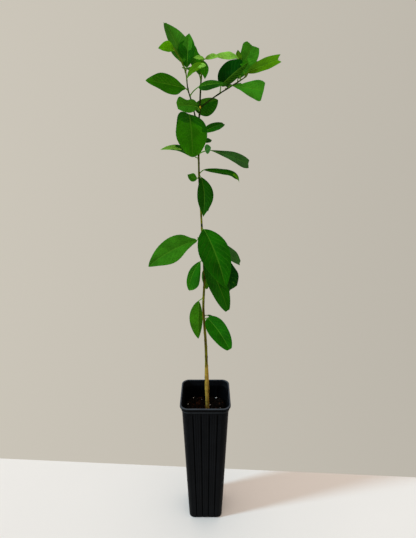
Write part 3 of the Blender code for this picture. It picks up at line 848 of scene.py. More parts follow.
def arc(out, up, radius, start, end, steps):
    """Points of an arc in a profile, as (out, up). An angle of 0 is outward and 90 is up."""
    angles = [math.radians(start + (end - start) * k / steps) for k in range(steps + 1)]
    return [(out + radius * math.cos(a), up + radius * math.sin(a)) for a in angles]


def pot_heights(pot):
    """The heights of the wall's top, of the collar's foot and of the lip's foot."""
    lip_foot = pot.height - LIP_HEIGHT
    collar_foot = lip_foot - COLLAR_HEIGHT
    return collar_foot - COLLAR_GAP, collar_foot, lip_foot


def wall_rows(pot, wall_top):
    """The rings up the outside of the wall, from its rounded foot to its top."""
    foot, neck = pot.foot_width / 2, pot.neck_width / 2
    round_foot = arc(foot - FOOT_ROUND, FOOT_ROUND, FOOT_ROUND, -90, 0, len(FOOT_FLUTING) - 1)
    rows = []
    for place, share in zip(round_foot, FOOT_FLUTING):
        rows.append((ribbed_ring(*place, pot.flute_depth * share), PLAIN))
    for k in range(1, WALL_STEPS + 1):
        share = k / WALL_STEPS
        height = FOOT_ROUND + (wall_top - FOOT_ROUND) * share
        ribbed = pot.rib_height * min(1.0, RIB_FADE_IN * share, RIB_FADE_OUT * (1 - share))
        fluted = pot.flute_depth * min(1.0, FLUTE_FADE * (1 - share))
        rows.append((ribbed_ring(foot + (neck - foot) * share, height, fluted, ribbed), None))
    return rows


def collar_rows(pot, collar_foot, lip_foot):
    """The plain rings of the collar: painted shade round its rounded foot and up under the lip, and a
    painted highlight on its lower part.
    """
    neck = pot.neck_width / 2
    collar = neck + COLLAR_STEP
    under = [(neck, collar_foot - SMALL_ROUND)]
    under += arc(collar - SMALL_ROUND, collar_foot + SMALL_ROUND, SMALL_ROUND, -90, 0, COLLAR_ROUND_STEPS)
    # Below the collar and round its foot, painted shade.
    rows = [(ribbed_ring(*place), GROOVE_SHADE) for place in under]
    for k in range(1, COLLAR_STEPS):
        paint = HIGHLIGHT if k <= COLLAR_HIGHLIGHT_STEPS else GROOVE_SHADE
        rows.append((ribbed_ring(collar, collar_foot + COLLAR_HEIGHT * k / COLLAR_STEPS), paint))
    rows.append((ribbed_ring(collar, lip_foot - LIP_GAP), GROOVE_SHADE))
    return rows


def lip_rows(pot, lip_foot):
    """The rings over the rolled lip: a painted sheen on its outer face, and a painted highlight on its top,
    the palest part of the pot, and on its inside face.
    """
    rim = pot.rim_width / 2
    lip = [
        *arc(rim - LIP_ROUND, lip_foot + LIP_ROUND, LIP_ROUND, -90, 0, LIP_STEPS[0]),
        *arc(rim - LIP_ROUND, pot.height - LIP_ROUND, LIP_ROUND, 0, 90, LIP_STEPS[1]),
        *arc(rim - LIP_WALL + SMALL_ROUND, pot.height - SMALL_ROUND, SMALL_ROUND, 90, 180, LIP_STEPS[2]),
    ]
    # The lip's outer face takes the painted sheen, and its top and inner round the painted highlight.
    rows = [(ribbed_ring(*place), SHEEN) for place in lip[:LIP_DARK_STEPS]]
    rows += [(ribbed_ring(*place), EDGE_HIGHLIGHT) for place in lip[LIP_DARK_STEPS:]]
    # The lip's inside face takes the painted highlight.
    rows.append((ribbed_ring(rim - LIP_WALL, pot.height - LIP_HEIGHT / 2), HIGHLIGHT))
    return rows


def inner_rows(pot, wall_top, collar_foot):
    """The rings down the inside, where the flutes stand out and soon reach their full depth."""
    foot, neck = pot.foot_width / 2 - pot.wall, pot.neck_width / 2 - pot.wall
    depth = pot.flute_depth
    # The inside just under the lip takes the painted sheen.
    rows = [(ribbed_ring(neck + SMALL_ROUND, collar_foot), SHEEN)]
    rows += [(ribbed_ring(neck, wall_top - MM * k, depth * k / 2), PLAIN) for k in range(3)]
    for share in INNER_SHARES:
        height = FLOOR + (wall_top - FLOOR) * share
        rows.append((ribbed_ring(foot + (neck - foot) * share, height, depth), PLAIN))
    return rows


def pot_rows(pot):
    """The pot's rings, up the outside, over the rolled lip and down the inside, each with its paint.

    The paint None leaves it to the columns, which tell the tops of the ribs, with their painted
    sheen, from the flutes, with their painted shade.
    """
    wall_top, collar_foot, lip_foot = pot_heights(pot)
    return [
        *wall_rows(pot, wall_top),
        *collar_rows(pot, collar_foot, lip_foot),
        *lip_rows(pot, lip_foot),
        *inner_rows(pot, wall_top, collar_foot),
    ]


def mark_wear(part, rows, columns):
    """Gives each face of the pot's grid the paint of its row, or of its column where the row has none."""
    grid = part.loops.layers.uv["blade"]
    for face in part.faces:
        middle = sum((loop[grid].uv for loop in face.loops), Vector((0, 0))) / len(face.loops)
        paint = rows[math.ceil(middle.y * (len(rows) - 1))][1]
        if paint is None:
            paint = columns[round(middle.x * len(columns)) % len(columns)]
        face.material_index = paint


def close_floor(part):
    """Closes the pot's two open ends with a floor that has drain holes through it."""
    holes = []
    for height in (0.0, FLOOR):
        rim = [e for e in part.edges if e.is_boundary and abs(e.verts[0].co.z - height) < MM / 10]
        rings = []
        for turn in range(4):
            around = Matrix.Rotation(math.radians(90 * turn + 45), 4, "Z")
            where = around @ Matrix.Translation((DRAIN_DISTANCE, 0, height))
            ring = bmesh.ops.create_circle(
                part, cap_ends=False, segments=DRAIN_SIDES, radius=DRAIN_DIAMETER / 2, matrix=where
            )["verts"]
            rings.append(list({edge for vert in ring for edge in vert.link_edges}))
        outline = rim + [edge for ring in rings for edge in ring]
        bmesh.ops.triangle_fill(part, use_beauty=True, edges=outline)
        holes.append(rings)
    for lower, upper in zip(*holes):
        bmesh.ops.bridge_loops(part, edges=lower + upper)


def plastic(name, rgb, dust):
    """Black moulded plastic: faint lines of the mould, scuffs, and dust on the rim and the ledges."""

    def build(nodes):
        place = nodes.place()
        drawn = nodes.noise(nodes.place((1.0, 1.0, 0.04)), scale=900.0, detail=2.0)
        scuff = nodes.ramp(nodes.noise(place, scale=70.0, detail=6.0), low=0.56, high=0.74)
        normal = nodes.add("ShaderNodeNewGeometry", {}).outputs["Normal"]
        ledge = nodes.ramp(nodes.axes(normal)[2], low=0.25, high=0.95)
        specks = nodes.ramp(nodes.noise(place, scale=260.0, detail=5.0), low=0.42, high=0.66)
        dusty = nodes.weigh(nodes.math("MULTIPLY", ledge, specks), LEDGE_DUST, scuff, SCUFF_DUST)
        soft = mottled(nodes, solid(rgb), patches=22.0, grains=400.0, depth=0.25)
        height = nodes.weigh(drawn, MOULD_SHARE, soft["Grain"], 1 - MOULD_SHARE)
        dull = nodes.math("ADD", scuff, specks)
        return {
            "Base Color": nodes.blend(dusty, soft["Color"], solid(dust)),
            "Roughness": nodes.ramp(dull, 0.0, DULL_MOST, *PLASTIC_ROUGHNESS),
            "Normal": nodes.bump(height, distance=0.00010),
        }

    return new_material(name, roughness=0.4, specular=0.03, build=build)


class SAPLING_OT_pot(bpy.types.Operator):
    """Models the tall square pot with its flutes, fine ribs, collar, rolled lip and drain holes."""

    bl_idname = "sapling.pot"
    bl_label = "Pot"

    def execute(self, context):
        pot = context.scene.sapling_pot
        rows = pot_rows(pot)
        side = ribbed_side(pot.neck_width / 2, pot.flute_depth, pot.rib_height)
        columns = [paint for _, _, paint in side] * 4
        part = rolled_grid(len(columns), len(rows) - 1, lambda column, row: rows[row][0][column])
        mark_wear(part, rows, columns)
        close_floor(part)
        bmesh.ops.recalc_face_normals(part, faces=part.faces)
        piece = Piece("nursery_pot")
        # Plain plastic, then the painted highlight, painted shade, painted sheen and the lip top's painted
        # highlight.
        piece.take(
            part,
            plastic("black_plastic", pot.plastic, pot.dust),
            plastic("worn_plastic", pot.worn, pot.dust),
            plastic("groove_plastic", pot.groove, pot.groove),
            plastic("crest_plastic", pot.crest, pot.dust),
            plastic("edge_plastic", pot.edge, pot.dust),
        )
        piece.stand("pot_plastic", "pot")
        return {"FINISHED"}


# ------------------------------------------------------------------------ the growing mix

MIX_TOP = 0.265
MIX_SHOULDER = 0.003
MIX_SIDES = 128
MIX_RINGS = 56
MIX_SEED = 11
MIX_CLEARANCE = 0.0003
SHOULDER_FROM = 0.93
SHOULDER_SHARE = 0.07
SQUARENESS = 5

# The rise and fall of the mix: each layer's cut through the noise, its size and its share of the bump.
MIX_LAYERS = ((0.3, 0.016, 0.65), (1.7, 0.0045, 0.35), (4.1, 0.0016, 0.22))

# Where the lumps lie: off the stem, short of the wall and of the corners.
BARE_RADIUS = 0.0052
CHIP_REACH = 0.93
CORNER_REACH = 0.97

# The lumps' sizes: a chip's sides and a ball's as shares of its size, and the spread of those sizes.
CHIP_LENGTHS = (1.1, 2.0)
CHIP_WIDTHS = (0.6, 1.1)
CHIP_HEIGHTS = (0.18, 0.45)
LEAST_CHIP = 0.35
BALL_LENGTHS = (0.8, 1.3)
BALL_HEIGHTS = (0.7, 1.0)
CRUMBS = 2600
CRUMB_SIZE = 0.0010
CRUMB_SPREAD = (0.5, 1.5)
GRAIN_SIZE = 0.0009
GRAIN_SPREAD = (0.35, 1.1)
LUMP_JITTER = 0.13

# How high the lumps are bedded, as shares of their size, and how far they tip and roll.
SEEN_LIFT = 0.5
BEDDED_LIFT = 0.45
CHIP_LIFT = 0.35
TIP_SPREAD = 22
ROLL_SPREAD = 16

# The finishes: the scale of the grain, how uneven the colour is, the relief and the roughness.
EARTHS = {
    "peat": (900.0, 0.55, 0.0006, 0.95),
    "dark_bark_chips": (700.0, 0.5, 0.0004, 0.95),
    "red_bark_chips": (700.0, 0.5, 0.0004, 0.95),
    "perlite": (1500.0, 0.14, 0.0002, 0.85),
}

# How many grains across a patch of colour is, and how much finer than the grain the broken cells are.
PATCH_SIZE = 6
CELL_SCALE = 1.7

# The larger white grains that catch the eye: place across and to the back, and size, in millimetres.
GRAINS_SEEN = (
    (-26.3, 34.5, 2.8), (23.5, 34.5, 3.2), (-37.4, 14.6, 2.4), (9.7, 11.3, 2.4), (-44, 30, 1.5),
    (-8, 30, 1.2), (-24, -12, 1.2), (31, 2, 1.2),
)

# Where the fresher red chips lie thickest, how wide that patch is, and their share there and elsewhere.
RED_PLACE = (-0.015, 0.014)
RED_SPREAD = 0.011
RED_SHARES = (0.60, 0.035)


def squared(turn):
    """How much further than its half width a rounded square reaches at an angle."""
    c, s = abs(math.cos(turn)), abs(math.sin(turn))
    return 1 / (c**SQUARENESS + s**SQUARENESS) ** (1 / SQUARENESS)


def inner_half(pot, height):
    """Half the pot's inner width at a height, less the clearance of the mix."""
    wall_top = pot_heights(pot)[0]
    share = (height - FLOOR) / (wall_top - FLOOR)
    width = pot.foot_width + (pot.neck_width - pot.foot_width) * share
    return width / 2 - pot.wall - pot.flute_depth - MIX_CLEARANCE


def mix_level(x, y, bump):
    """Height of the mix's surface at a place: mounds, lumps and crumbs."""
    rise = sum(share * noise.noise(Vector((x, y, cut)) / size) for cut, size, share in MIX_LAYERS)
    return MIX_TOP + bump * rise


def mix_body(pot, mix):
    """The mix as one closed shape, from the middle of its surface out and down to the pot's floor."""

    def place(column, row):
        turn = math.tau * column / MIX_SIDES
        reach = squared(turn)
        if row <= MIX_RINGS:
            share = row / MIX_RINGS
            out = inner_half(pot, MIX_TOP) * reach * share
            x, y = out * math.cos(turn), out * math.sin(turn)
            sunk = MIX_SHOULDER * max(0.0, share - SHOULDER_FROM) / SHOULDER_SHARE
            return Vector((x, y, mix_level(x, y, mix.bump) - sunk))
        height = MIX_TOP - 3 * MIX_SHOULDER if row == MIX_RINGS + 1 else FLOOR + MIX_CLEARANCE
        out = inner_half(pot, height) * reach
        return Vector((out * math.cos(turn), out * math.sin(turn), height))

    return wrapped_grid(MIX_SIDES, MIX_RINGS + 2, place)


def lump(kind, size, chance, flat=1.0):
    """A small rough lump about the origin: a chip from a cut cube, or a crumb or grain from a ball."""
    part = new_part()
    if kind == "chip":
        bmesh.ops.create_cube(part, size=1.0)
        bmesh.ops.subdivide_edges(part, edges=part.edges, cuts=1, use_grid_fill=True)
        shape = Vector(
            (size * chance.uniform(*CHIP_LENGTHS), size * chance.uniform(*CHIP_WIDTHS), size * flat)
        )
    else:
        bmesh.ops.create_icosphere(part, subdivisions=1 if kind == "crumb" else 2, radius=0.5)
        shape = Vector(
            (size * chance.uniform(*BALL_LENGTHS), size, size * chance.uniform(*BALL_HEIGHTS))
        )
    for vert in part.verts:
        jitter = Vector((chance.uniform(-1, 1), chance.uniform(-1, 1), chance.uniform(-1, 1)))
        vert.co = (vert.co + jitter * LUMP_JITTER) * shape
    return part


def bare_place(pot, chance):
    """A random place on the mix, off the stem and short of the wall."""
    half = inner_half(pot, MIX_TOP) * CHIP_REACH
    while True:
        x, y = chance.uniform(-1, 1), chance.uniform(-1, 1)
        away = math.hypot(x, y)
        if away * half > BARE_RADIUS and away < squared(math.atan2(y, x)) * CORNER_REACH:
            return x * half, y * half


def scattered(pot, mix, chance, kind, size, flat=1.0, where=None):
    """A lump, turned at random and bedded in the surface of the mix."""
    part = lump(kind, size, chance, flat)
    lift = size * (SEEN_LIFT if where else chance.uniform(0.0, BEDDED_LIFT))
    where = where or bare_place(pot, chance)
    height = mix_level(*where, mix.bump) + lift * (CHIP_LIFT if kind == "chip" else 1.0)
    turned = Matrix.Rotation(chance.uniform(0, math.tau), 4, "Z")
    tipped = Matrix.Rotation(math.radians(chance.gauss(0, TIP_SPREAD)), 4, "X")
    rolled = Matrix.Rotation(math.radians(chance.gauss(0, ROLL_SPREAD)), 4, "Y")
    matrix = Matrix.Translation((*where, height)) @ turned @ tipped @ rolled
    bmesh.ops.transform(part, matrix=matrix, verts=part.verts)
    return part


def red_share(part):
    """How likely a chip is to be a fresher red one, by where it lies."""
    part.verts.ensure_lookup_table()
    here = part.verts[0].co
    away = math.hypot(here.x - RED_PLACE[0], here.y - RED_PLACE[1]) / RED_SPREAD
    return RED_SHARES[1] + (RED_SHARES[0] - RED_SHARES[1]) * math.exp(-away * away)


def earthy(name, rgb):
    """A dull, broken surface, as of peat, bark or perlite, with the values of its row in EARTHS."""
    scale, depth, relief, roughness = EARTHS[name]

    def build(nodes):
        place = nodes.place()
        soft = mottled(nodes, solid(rgb), scale / PATCH_SIZE, scale, depth)
        crumbs = nodes.noise(place, scale, detail=6.0)
        rough = nodes.math("ADD", crumbs, nodes.cells(place, scale * CELL_SCALE))
        return {
            "Base Color": soft["Color"],
            "Normal": nodes.bump(nodes.math("MULTIPLY", rough, 0.5), relief),
        }

    return new_material(name, roughness, specular=0.06, build=build)


class SAPLING_OT_mix(bpy.types.Operator):
    """Fills the pot with growing mix and strews bark chips, crumbs and white grains on it."""

    bl_idname = "sapling.mix"
    bl_label = "Growing mix"

    def execute(self, context):
        pot, mix = context.scene.sapling_pot, context.scene.sapling_mix
        chance = random.Random(MIX_SEED)
        peat = earthy("peat", mix.peat)
        body = Piece("growing_mix")
        body.take(mix_body(pot, mix), peat)
        body.stand("growing_mix", "root_ball")
        barks = [earthy("dark_bark_chips", mix.dark_bark), earthy("red_bark_chips", mix.red_bark)]
        chips = Piece("bark_chips")
        for _ in range(mix.chips):
            size = mix.chip_size * (LEAST_CHIP + (1 - LEAST_CHIP) * chance.random() ** 2)
            part = scattered(pot, mix, chance, "chip", size, chance.uniform(*CHIP_HEIGHTS))
            chips.take(part, barks[chance.random() < red_share(part)])
        for _ in range(CRUMBS):
            part = scattered(pot, mix, chance, "crumb", CRUMB_SIZE * chance.uniform(*CRUMB_SPREAD))
            chips.take(part, chance.choice((peat, barks[0])))
        chips.stand("growing_mix", "root_ball")
        white = earthy("perlite", mix.perlite)
        grains = Piece("perlite_grains")
        for x, y, size in GRAINS_SEEN:
            grains.take(scattered(pot, mix, chance, "grain", size * MM, where=(x * MM, y * MM)), white)
        for _ in range(mix.grains):
            size = GRAIN_SIZE * chance.uniform(*GRAIN_SPREAD)
            grains.take(scattered(pot, mix, chance, "grain", size), white)
        grains.stand("growing_mix", "root_ball")
        return {"FINISHED"}


# ------------------------------------------------------------------------ the stem and boughs

# Old leaf scars, and the swelling that they share with the leaves' feet: how long it is, how far it is
# felt, how much of it goes all the way round, and the most that several add up to.
SCAR_SPACING = 0.021
SCAR_SPREAD = (0.6, 1.4)
SCAR_SEED = 5
KNUCKLE_LENGTH = 0.0017
KNUCKLE_REACH = 3
KNUCKLE_ROUND = 0.35
KNUCKLE_MOST = 1.3

# The bark's relief: each layer of furrows, by its scale round and along the limb and its share, and the
# low ridges that wind up it.
FURROWS = ((2.2, 26, 0.6), (5.5, 90, 0.4))
RIDGES = 5
RIDGE_TURN = 21
RIDGE_SHARE = 0.35

# How far the bark's changes wander, and the heights between which the rootstock gives way to the scion,
# olive bark to green, all of it to young bark, and that to the boughs' tips.
BARK_WANDER = 0.08
GRAFT_RISE = (0.345, 0.385)
GREEN_RISE = (0.50, 0.62)
YOUNG_RISE = (0.735, 0.775)
TIP_RISE = (0.885, 0.905)

# The noise over which brown takes over from tan and from olive, and young bark from green, and how wide
# the bark's cracks are and how much of its relief they make.
BROWN_ON_TAN = (0.46, 0.60)
BROWN_ON_OLIVE = (0.46, 0.58)
YOUNG_ON_GREEN = (0.46, 0.56)
CRACK_EDGE = (0.0, 0.16)
CRACK_SHARE = 0.6


def scars_of(limb, chance):
    """The height and way out of each leaf's foot, and of old leaf scars at random all the way up."""
    scars = [(height * MM, bearing) for height, bearing in limb.leaf_feet]
    height = limb.points[0].z + SCAR_SPACING
    while height < limb.points[-1].z:
        scars.append((height, chance.uniform(0, 360)))
        height += SCAR_SPACING * chance.uniform(*SCAR_SPREAD)
    return [(z, direction(bearing, 0)) for z, bearing in scars]


def bark_tube(limb, stem, sides, seed):
    """The limb with furrows along it, low ridges, and a swelling at each leaf and old leaf scar."""
    scars = scars_of(limb, random.Random(seed))

    def radius(row, out):
        point = limb.points[row]
        bare = limb.radius(limb.lengths[row])
        furrow = 0.0
        for across, along, share in FURROWS:
            place = Vector((out.x * across, out.y * across, point.z * along + seed))
            furrow += share * noise.noise(place)
        ridge = math.cos(RIDGES * math.atan2(out.y, out.x) + point.z * RIDGE_TURN)
        age = min(1.0, bare / limb.foot_radius)
        relief = stem.relief * age * (furrow + RIDGE_SHARE * ridge)
        swell = 0.0
        for height, way in scars:
            near = (point.z - height) / KNUCKLE_LENGTH
            if abs(near) < KNUCKLE_REACH:
                side = KNUCKLE_ROUND + (1 - KNUCKLE_ROUND) * max(0.0, out.dot(way))
                swell += math.exp(-near * near) * side
        return bare + relief + min(swell, KNUCKLE_MOST) * stem.knuckle * math.sqrt(age)

    return tube(limb.points, sides, radius)


def bark(stem):
    """Thin bark: tan on the rootstock, then olive, green in turns, and nearly black at the leader."""

    def build(nodes):
        brown, green, young = solid(stem.brown_bark), solid(stem.green_bark), solid(stem.young_bark)
        place = nodes.place()
        up = nodes.axes(place)[2]
        streaks = nodes.noise(nodes.place((1.0, 1.0, 0.14)), scale=230.0, detail=4.0)
        wander = nodes.math("SUBTRACT", nodes.noise(place, scale=42.0), 0.5)
        age = nodes.math("MULTIPLY_ADD", wander, BARK_WANDER, up)
        rootstock = nodes.blend(nodes.ramp(streaks, *BROWN_ON_TAN), solid(stem.old_bark), brown)
        olive = nodes.blend(nodes.ramp(streaks, *BROWN_ON_OLIVE), green, brown)
        turns = nodes.noise(nodes.place((0.2, 0.2, 1.0)), scale=90.0, detail=2.0)
        scion = nodes.blend(nodes.ramp(turns, *YOUNG_ON_GREEN), green, young)
        scion = nodes.blend(nodes.ramp(age, *GREEN_RISE), olive, scion)
        tone = nodes.blend(nodes.ramp(age, *GRAFT_RISE), rootstock, scion)
        tone = nodes.blend(nodes.ramp(age, *YOUNG_RISE), tone, young)
        tone = nodes.blend(nodes.ramp(up, *TIP_RISE), tone, solid(stem.tip_bark))
        soft = mottled(nodes, tone, patches=150.0, grains=900.0, depth=0.28)
        cracks = nodes.cells(nodes.place((1.0, 1.0, 0.16)), scale=560.0, feature="DISTANCE_TO_EDGE")
        cracked = nodes.ramp(cracks, *CRACK_EDGE)
        relief = nodes.weigh(cracked, CRACK_SHARE, soft["Grain"], 1 - CRACK_SHARE)
        return {"Base Color": soft["Color"], "Normal": nodes.bump(relief, distance=0.00022)}

    return new_material("stem_bark", roughness=0.62, specular=0.02, build=build)


class SAPLING_OT_stem(bpy.types.Operator):
    """Grows the trunk with its leader, and the boughs, each on as the stem of its crown."""

    bl_idname = "sapling.stem"
    bl_label = "Stem and boughs"

    def execute(self, context):
        stem = context.scene.sapling_stem
        piece = Piece("bark_stem")
        skin = bark(stem)
        for seed, (name, limb) in enumerate(the_limbs().items(), SCAR_SEED):
            sides = BARK_SIDES if name == "trunk" else TWIG_SIDES
            piece.take(bark_tube(limb, stem, sides, seed), skin)
        piece.stand("bark", "trunk", "leader", "bough_left", "bough_right")
        return {"FINISHED"}


# ------------------------------------------------------------------------ the leaves

# A blade's section and outline: how far it cups, how narrow its foot is, how sharply a blunt end and a
# drawn tip set in, where a notch sets in, and the scallops, play and wave of its edges. A noise is given
# by its scales along the blade, across it and from leaf to leaf.
CUP = 0.55
FOOT_SHARE = 0.04
END_POWER = 12
DRAW_POWER = 5
NOTCH_FROM = 0.8
NOTCH_SHARE = 0.2
SCALLOPS = 17
SCALLOP_DEPTH = 0.006
EDGE_PLAY = 0.035
EDGE_NOISE = (3.1, 1.0, 2.3)
WAVE_NOISE = (4.2, 3.0, 1.7)

# How far the border of the tip's finish wanders and lies ahead, with its noise across the blade, along
# it and from leaf to leaf.
TIP_PLAY = 0.16
TIP_LEAD = 0.12
TIP_NOISE = (5.0, 9.0, 1.0)

# The quilting between the side veins, which grows shallow where the blade is narrow.
PILLOW_POWER = 0.8
PILLOW_SINK = 0.6
QUILTED_SHARE = 0.35

# The midrib under the blade: its radii at its foot and tip, how fast it tapers, how deep it sits, how
# many rows it stops short of the tip, and the thickening where it meets the stalk.
RIB_RADII = (0.00062, 0.00016)
RIB_TAPER = 0.7
RIB_SINK = 0.00016
RIB_SHORT = 2
ARTICULATION = 0.00022
ARTICULATION_SHARE = 0.03

# The small bud in each leaf's axil.
BUD_SIZE = 0.0011
BUD_SHAPE = (0.75, 0.75, 1.5, 1.0)
BUD_OUT = 0.0022
BUD_LIFT = Vector((0, 0, 0.0009))

# Where the larger yellow bud sits against the right bough's foot.
YELLOW_BUD_OFFSET = Vector((0.0006, -0.0020, 0.0012))
YELLOW_BUD_SIZE = 0.0016

# How clearly each finish shows its veins, how far its underside and ribs lean to their own colours, and
# the depth of the veins in the two faces.
VEIN_SHOW = {
    "fresh": 0.16, "deep": 0.20, "dim": 0.16, "shade": 0.08, "dusty": 0.16, "soft": 0.16,
    "olive": 0.20, "lime": 0.14, "pale": 0.22,
}
UNDERSIDE_LEAN = 0.55
RIB_LEAN = 0.5
UPPER_RELIEF = 0.00022
UNDER_RELIEF = 0.00034


class Blade:
    """A leaf in place: its stalk, and the line and frame of its midrib."""

    def __init__(self, leaf, limb, seed):
        self.leaf = leaf
        self.seed = seed
        self.length = leaf.length * MM
        self.half = leaf.width * MM / 2
        start = limb.at_height(leaf.height * MM)
        rise = direction(leaf.bearing, leaf.rise)
        foot = start + rise * leaf.stalk * MM
        upper = self.frame(0.0)[2]
        self.stalk = []
        for k in range(STALK_STEPS):
            share = k / STALK_STEPS
            bow = upper * STALK_BOW_SHARE * leaf.stalk * MM * math.sin(math.pi * share)
            self.stalk.append(start.lerp(foot, share) + bow)
        self.line = [foot]
        for k in range(BLADE_ROWS):
            along = self.frame((k + 0.5) / BLADE_ROWS - SOURCE_LAG)[0]
            self.line.append(self.line[-1] + along * self.length / BLADE_ROWS)

    def frame(self, share):
        """The directions along the midrib, across the blade and out of its upper face."""
        leaf = self.leaf
        drop = leaf.curl * max(0.0, share - CURL_START) / (1 - CURL_START)
        facing = leaf.facing + leaf.sweep * (share - 0.5)
        along = direction(facing, leaf.pitch + leaf.bend * (0.5 - share) - drop)
        side = Matrix.Rotation(math.radians(leaf.roll), 3, along) @ direction(facing - 90, 0)
        return along, side, side.cross(along)

    def play(self, scales, u, v):
        """Noise about 0 at a place on the blade, different on each leaf."""
        return noise.noise(Vector((u * scales[0], v * scales[1], self.seed * scales[2])))

    def half_width(self, share, margin):
        """The width from the midrib to a margin, -1 or 1, at a share of the length, with its play."""
        leaf = self.leaf
        reached = share * (1 - leaf.cut)
        body = math.sin(math.pi * reached**leaf.wide) ** leaf.taper if 0 < reached < 1 else 0.0
        least = FOOT_SHARE * (1 - share) + leaf.end * share**END_POWER
        full = max(body * (1 - leaf.draw * share**DRAW_POWER), least)
        width = self.half * (1 + margin * leaf.skew) * full
        for place, dented, amount, spread in leaf.dents:
            if dented in (0, margin):
                width *= 1 + amount * math.exp(-(((share - place) / spread) ** 2))
        play = EDGE_PLAY * self.play(EDGE_NOISE, share, margin)
        scallop = SCALLOP_DEPTH * math.sin(math.tau * SCALLOPS * share + margin)
        return width * (1 + play + scallop)

    def rise(self, away, share, edge, half, look):
        """How far a point stands over the midrib: the fold, the quilting and the wave of the edge."""
        fold = half * math.sin(math.radians(BLADE_FOLD)) * (away + CUP * away * (1 - away))
        rank = (share - VEIN_LEAN * away) * look.veins
        pillow = math.sin(math.pi * (rank % 1.0)) ** PILLOW_POWER - PILLOW_SINK
        narrow = min(1.0, half / (QUILTED_SHARE * self.half))
        quilt = look.quilting * pillow * 4 * away * (1 - away) * narrow
        play = self.play(WAVE_NOISE, share, edge)
        return fold + quilt + look.wave * play * away**2 * math.sin(math.pi * share)

    def place(self, across, share, look):
        """The point at a share of the length, across from -1 at one margin to 1 at the other."""
        along, side, upper = self.frame(share - SOURCE_LAG)
        away = abs(across)
        edge = math.copysign(1.0, across)
        half = self.half_width(share, edge)
        out = side * across * half * math.cos(math.radians(BLADE_FOLD))
        lifted = upper * self.rise(away, share, edge, half, look)
        pulled = self.leaf.notch * MM * (1 - away) * max(0.0, share - NOTCH_FROM) / NOTCH_SHARE
        return self.line[round(share * BLADE_ROWS)] + out + lifted - along * pulled

    def shape(self, look):
        """The blade as a closed shape.

        The index of its upper face is 0 and of its underside 1, and 2 and 3 past the start of its tip.
        """
        part = new_part()
        bmesh.ops.create_grid(
            part, x_segments=BLADE_COLUMNS, y_segments=BLADE_ROWS, size=0.5, calc_uvs=True
        )
        for vert in part.verts:
            vert.co = self.place(2 * vert.co.x, vert.co.y + 0.5, look)
        upper = set(part.faces)
        bmesh.ops.solidify(part, geom=part.faces[:], thickness=look.thickness)
        blade_map = part.loops.layers.uv["blade"]
        for face in part.faces:
            across, share = face.loops[0][blade_map].uv
            play = TIP_PLAY * self.play(TIP_NOISE, across, share)
            reached = share - VEIN_LEAN * abs(2 * across - 1) + play
            at_tip = reached > self.leaf.tip_from - TIP_LEAD
            face.material_index = (0 if face in upper else 1) + (2 if at_tip else 0)
        return part

    def rib(self):
        """The stalk, running on under the blade as its midrib."""
        line = [point - self.frame(k / BLADE_ROWS)[2] * RIB_SINK for k, point in enumerate(self.line)]

        def radius(row, _):
            if row < len(self.stalk):
                share = row / len(self.stalk)
                return STALK_FOOT_RADIUS + (STALK_TIP_RADIUS - STALK_FOOT_RADIUS) * share
            share = (row - len(self.stalk)) / len(line)
            joint = ARTICULATION * math.exp(-((share / ARTICULATION_SHARE) ** 2))
            return RIB_RADII[0] + (RIB_RADII[1] - RIB_RADII[0]) * share**RIB_TAPER + joint

        return tube(self.stalk + line[:-RIB_SHORT], STALK_SIDES, radius)


LEAF_PIECES = {
    "leaves_low": ("leaf_low_left", "leaf_low_right", "leaf_low_back"),
    "leaves_mid": (
        "leaf_mid_left", "leaf_mid_front", "leaf_mid_under", "leaf_mid_shade", "leaf_mid_grey",
        "leaf_mid_behind", "leaf_mid_strip", "leaf_mid_back",
    ),
    "leaves_high": ("leaf_high_front", "leaf_high_bud", "leaf_high_right", "leaf_high_back"),
    "leaves_top": (
        "leaf_top_right", "leaf_top_small", "leaf_top_left", "leaf_top_dark", "leaf_top_back",
    ),
    "leaves_fork": ("leaf_fork_right", "leaf_fork_front", "leaf_fork_left"),
    "leaves_crown_left": ("crown_left",),
    "leaves_crown_top": ("crown_top",),
    "leaves_crown_right": ("crown_right",),
}


def all_blades():
    """Every leaf in place, by the solid that it stands for."""
    limbs = the_limbs()
    blades = {}
    seed = 0
    for carrier, leaves in SINGLE_LEAVES.items():
        for node, leaf in leaves.items():
            seed += 1
            blades[node] = [Blade(leaf, limbs[carrier], seed)]
    for mass, carrier in MASS_CARRIERS.items():
        blades[mass] = []
        for leaf in MASS_LEAVES[mass]:
            seed += 1
            blades[mass].append(Blade(leaf, limbs[carrier], seed))
    return blades


def blade_material(name, rgb, look, show, relief):
    """Smooth living tissue with its midrib and side veins."""

    def build(nodes):
        inputs = {"Color": solid(rgb), "Vein": solid(look.rib), "Veins": float(look.veins), "Show": show}
        made = nodes.group(tissue, inputs)
        return {
            "Base Color": made["Color"],
            "Roughness": made["Roughness"],
            "Normal": nodes.bump(made["Height"], relief),
        }

    return new_material(name, roughness=0.45, specular=0.018, build=build)


def rib_material(name, rgb):
    """The firm green skin of a stalk, a midrib or a bud."""

    def build(nodes):
        soft = mottled(nodes, solid(rgb), patches=90.0, grains=900.0, depth=0.2)
        return {"Base Color": soft["Color"], "Normal": nodes.bump(soft["Grain"], distance=0.00008)}

    return new_material(name, roughness=0.5, specular=0.02, build=build)


def leaf_finishes(look):
    """The upper, under and rib material of each finish."""
    made = {}
    for name, show in VEIN_SHOW.items():
        rgb = tuple(getattr(look, name))
        under = lean(rgb, look.underside, UNDERSIDE_LEAN)
        made[name] = (
            blade_material(f"{name}_upper", rgb, look, show, UPPER_RELIEF),
            blade_material(f"{name}_under", under, look, show, UNDER_RELIEF),
            rib_material(f"{name}_rib", lean(rgb, look.rib, RIB_LEAN)),
        )
    return made


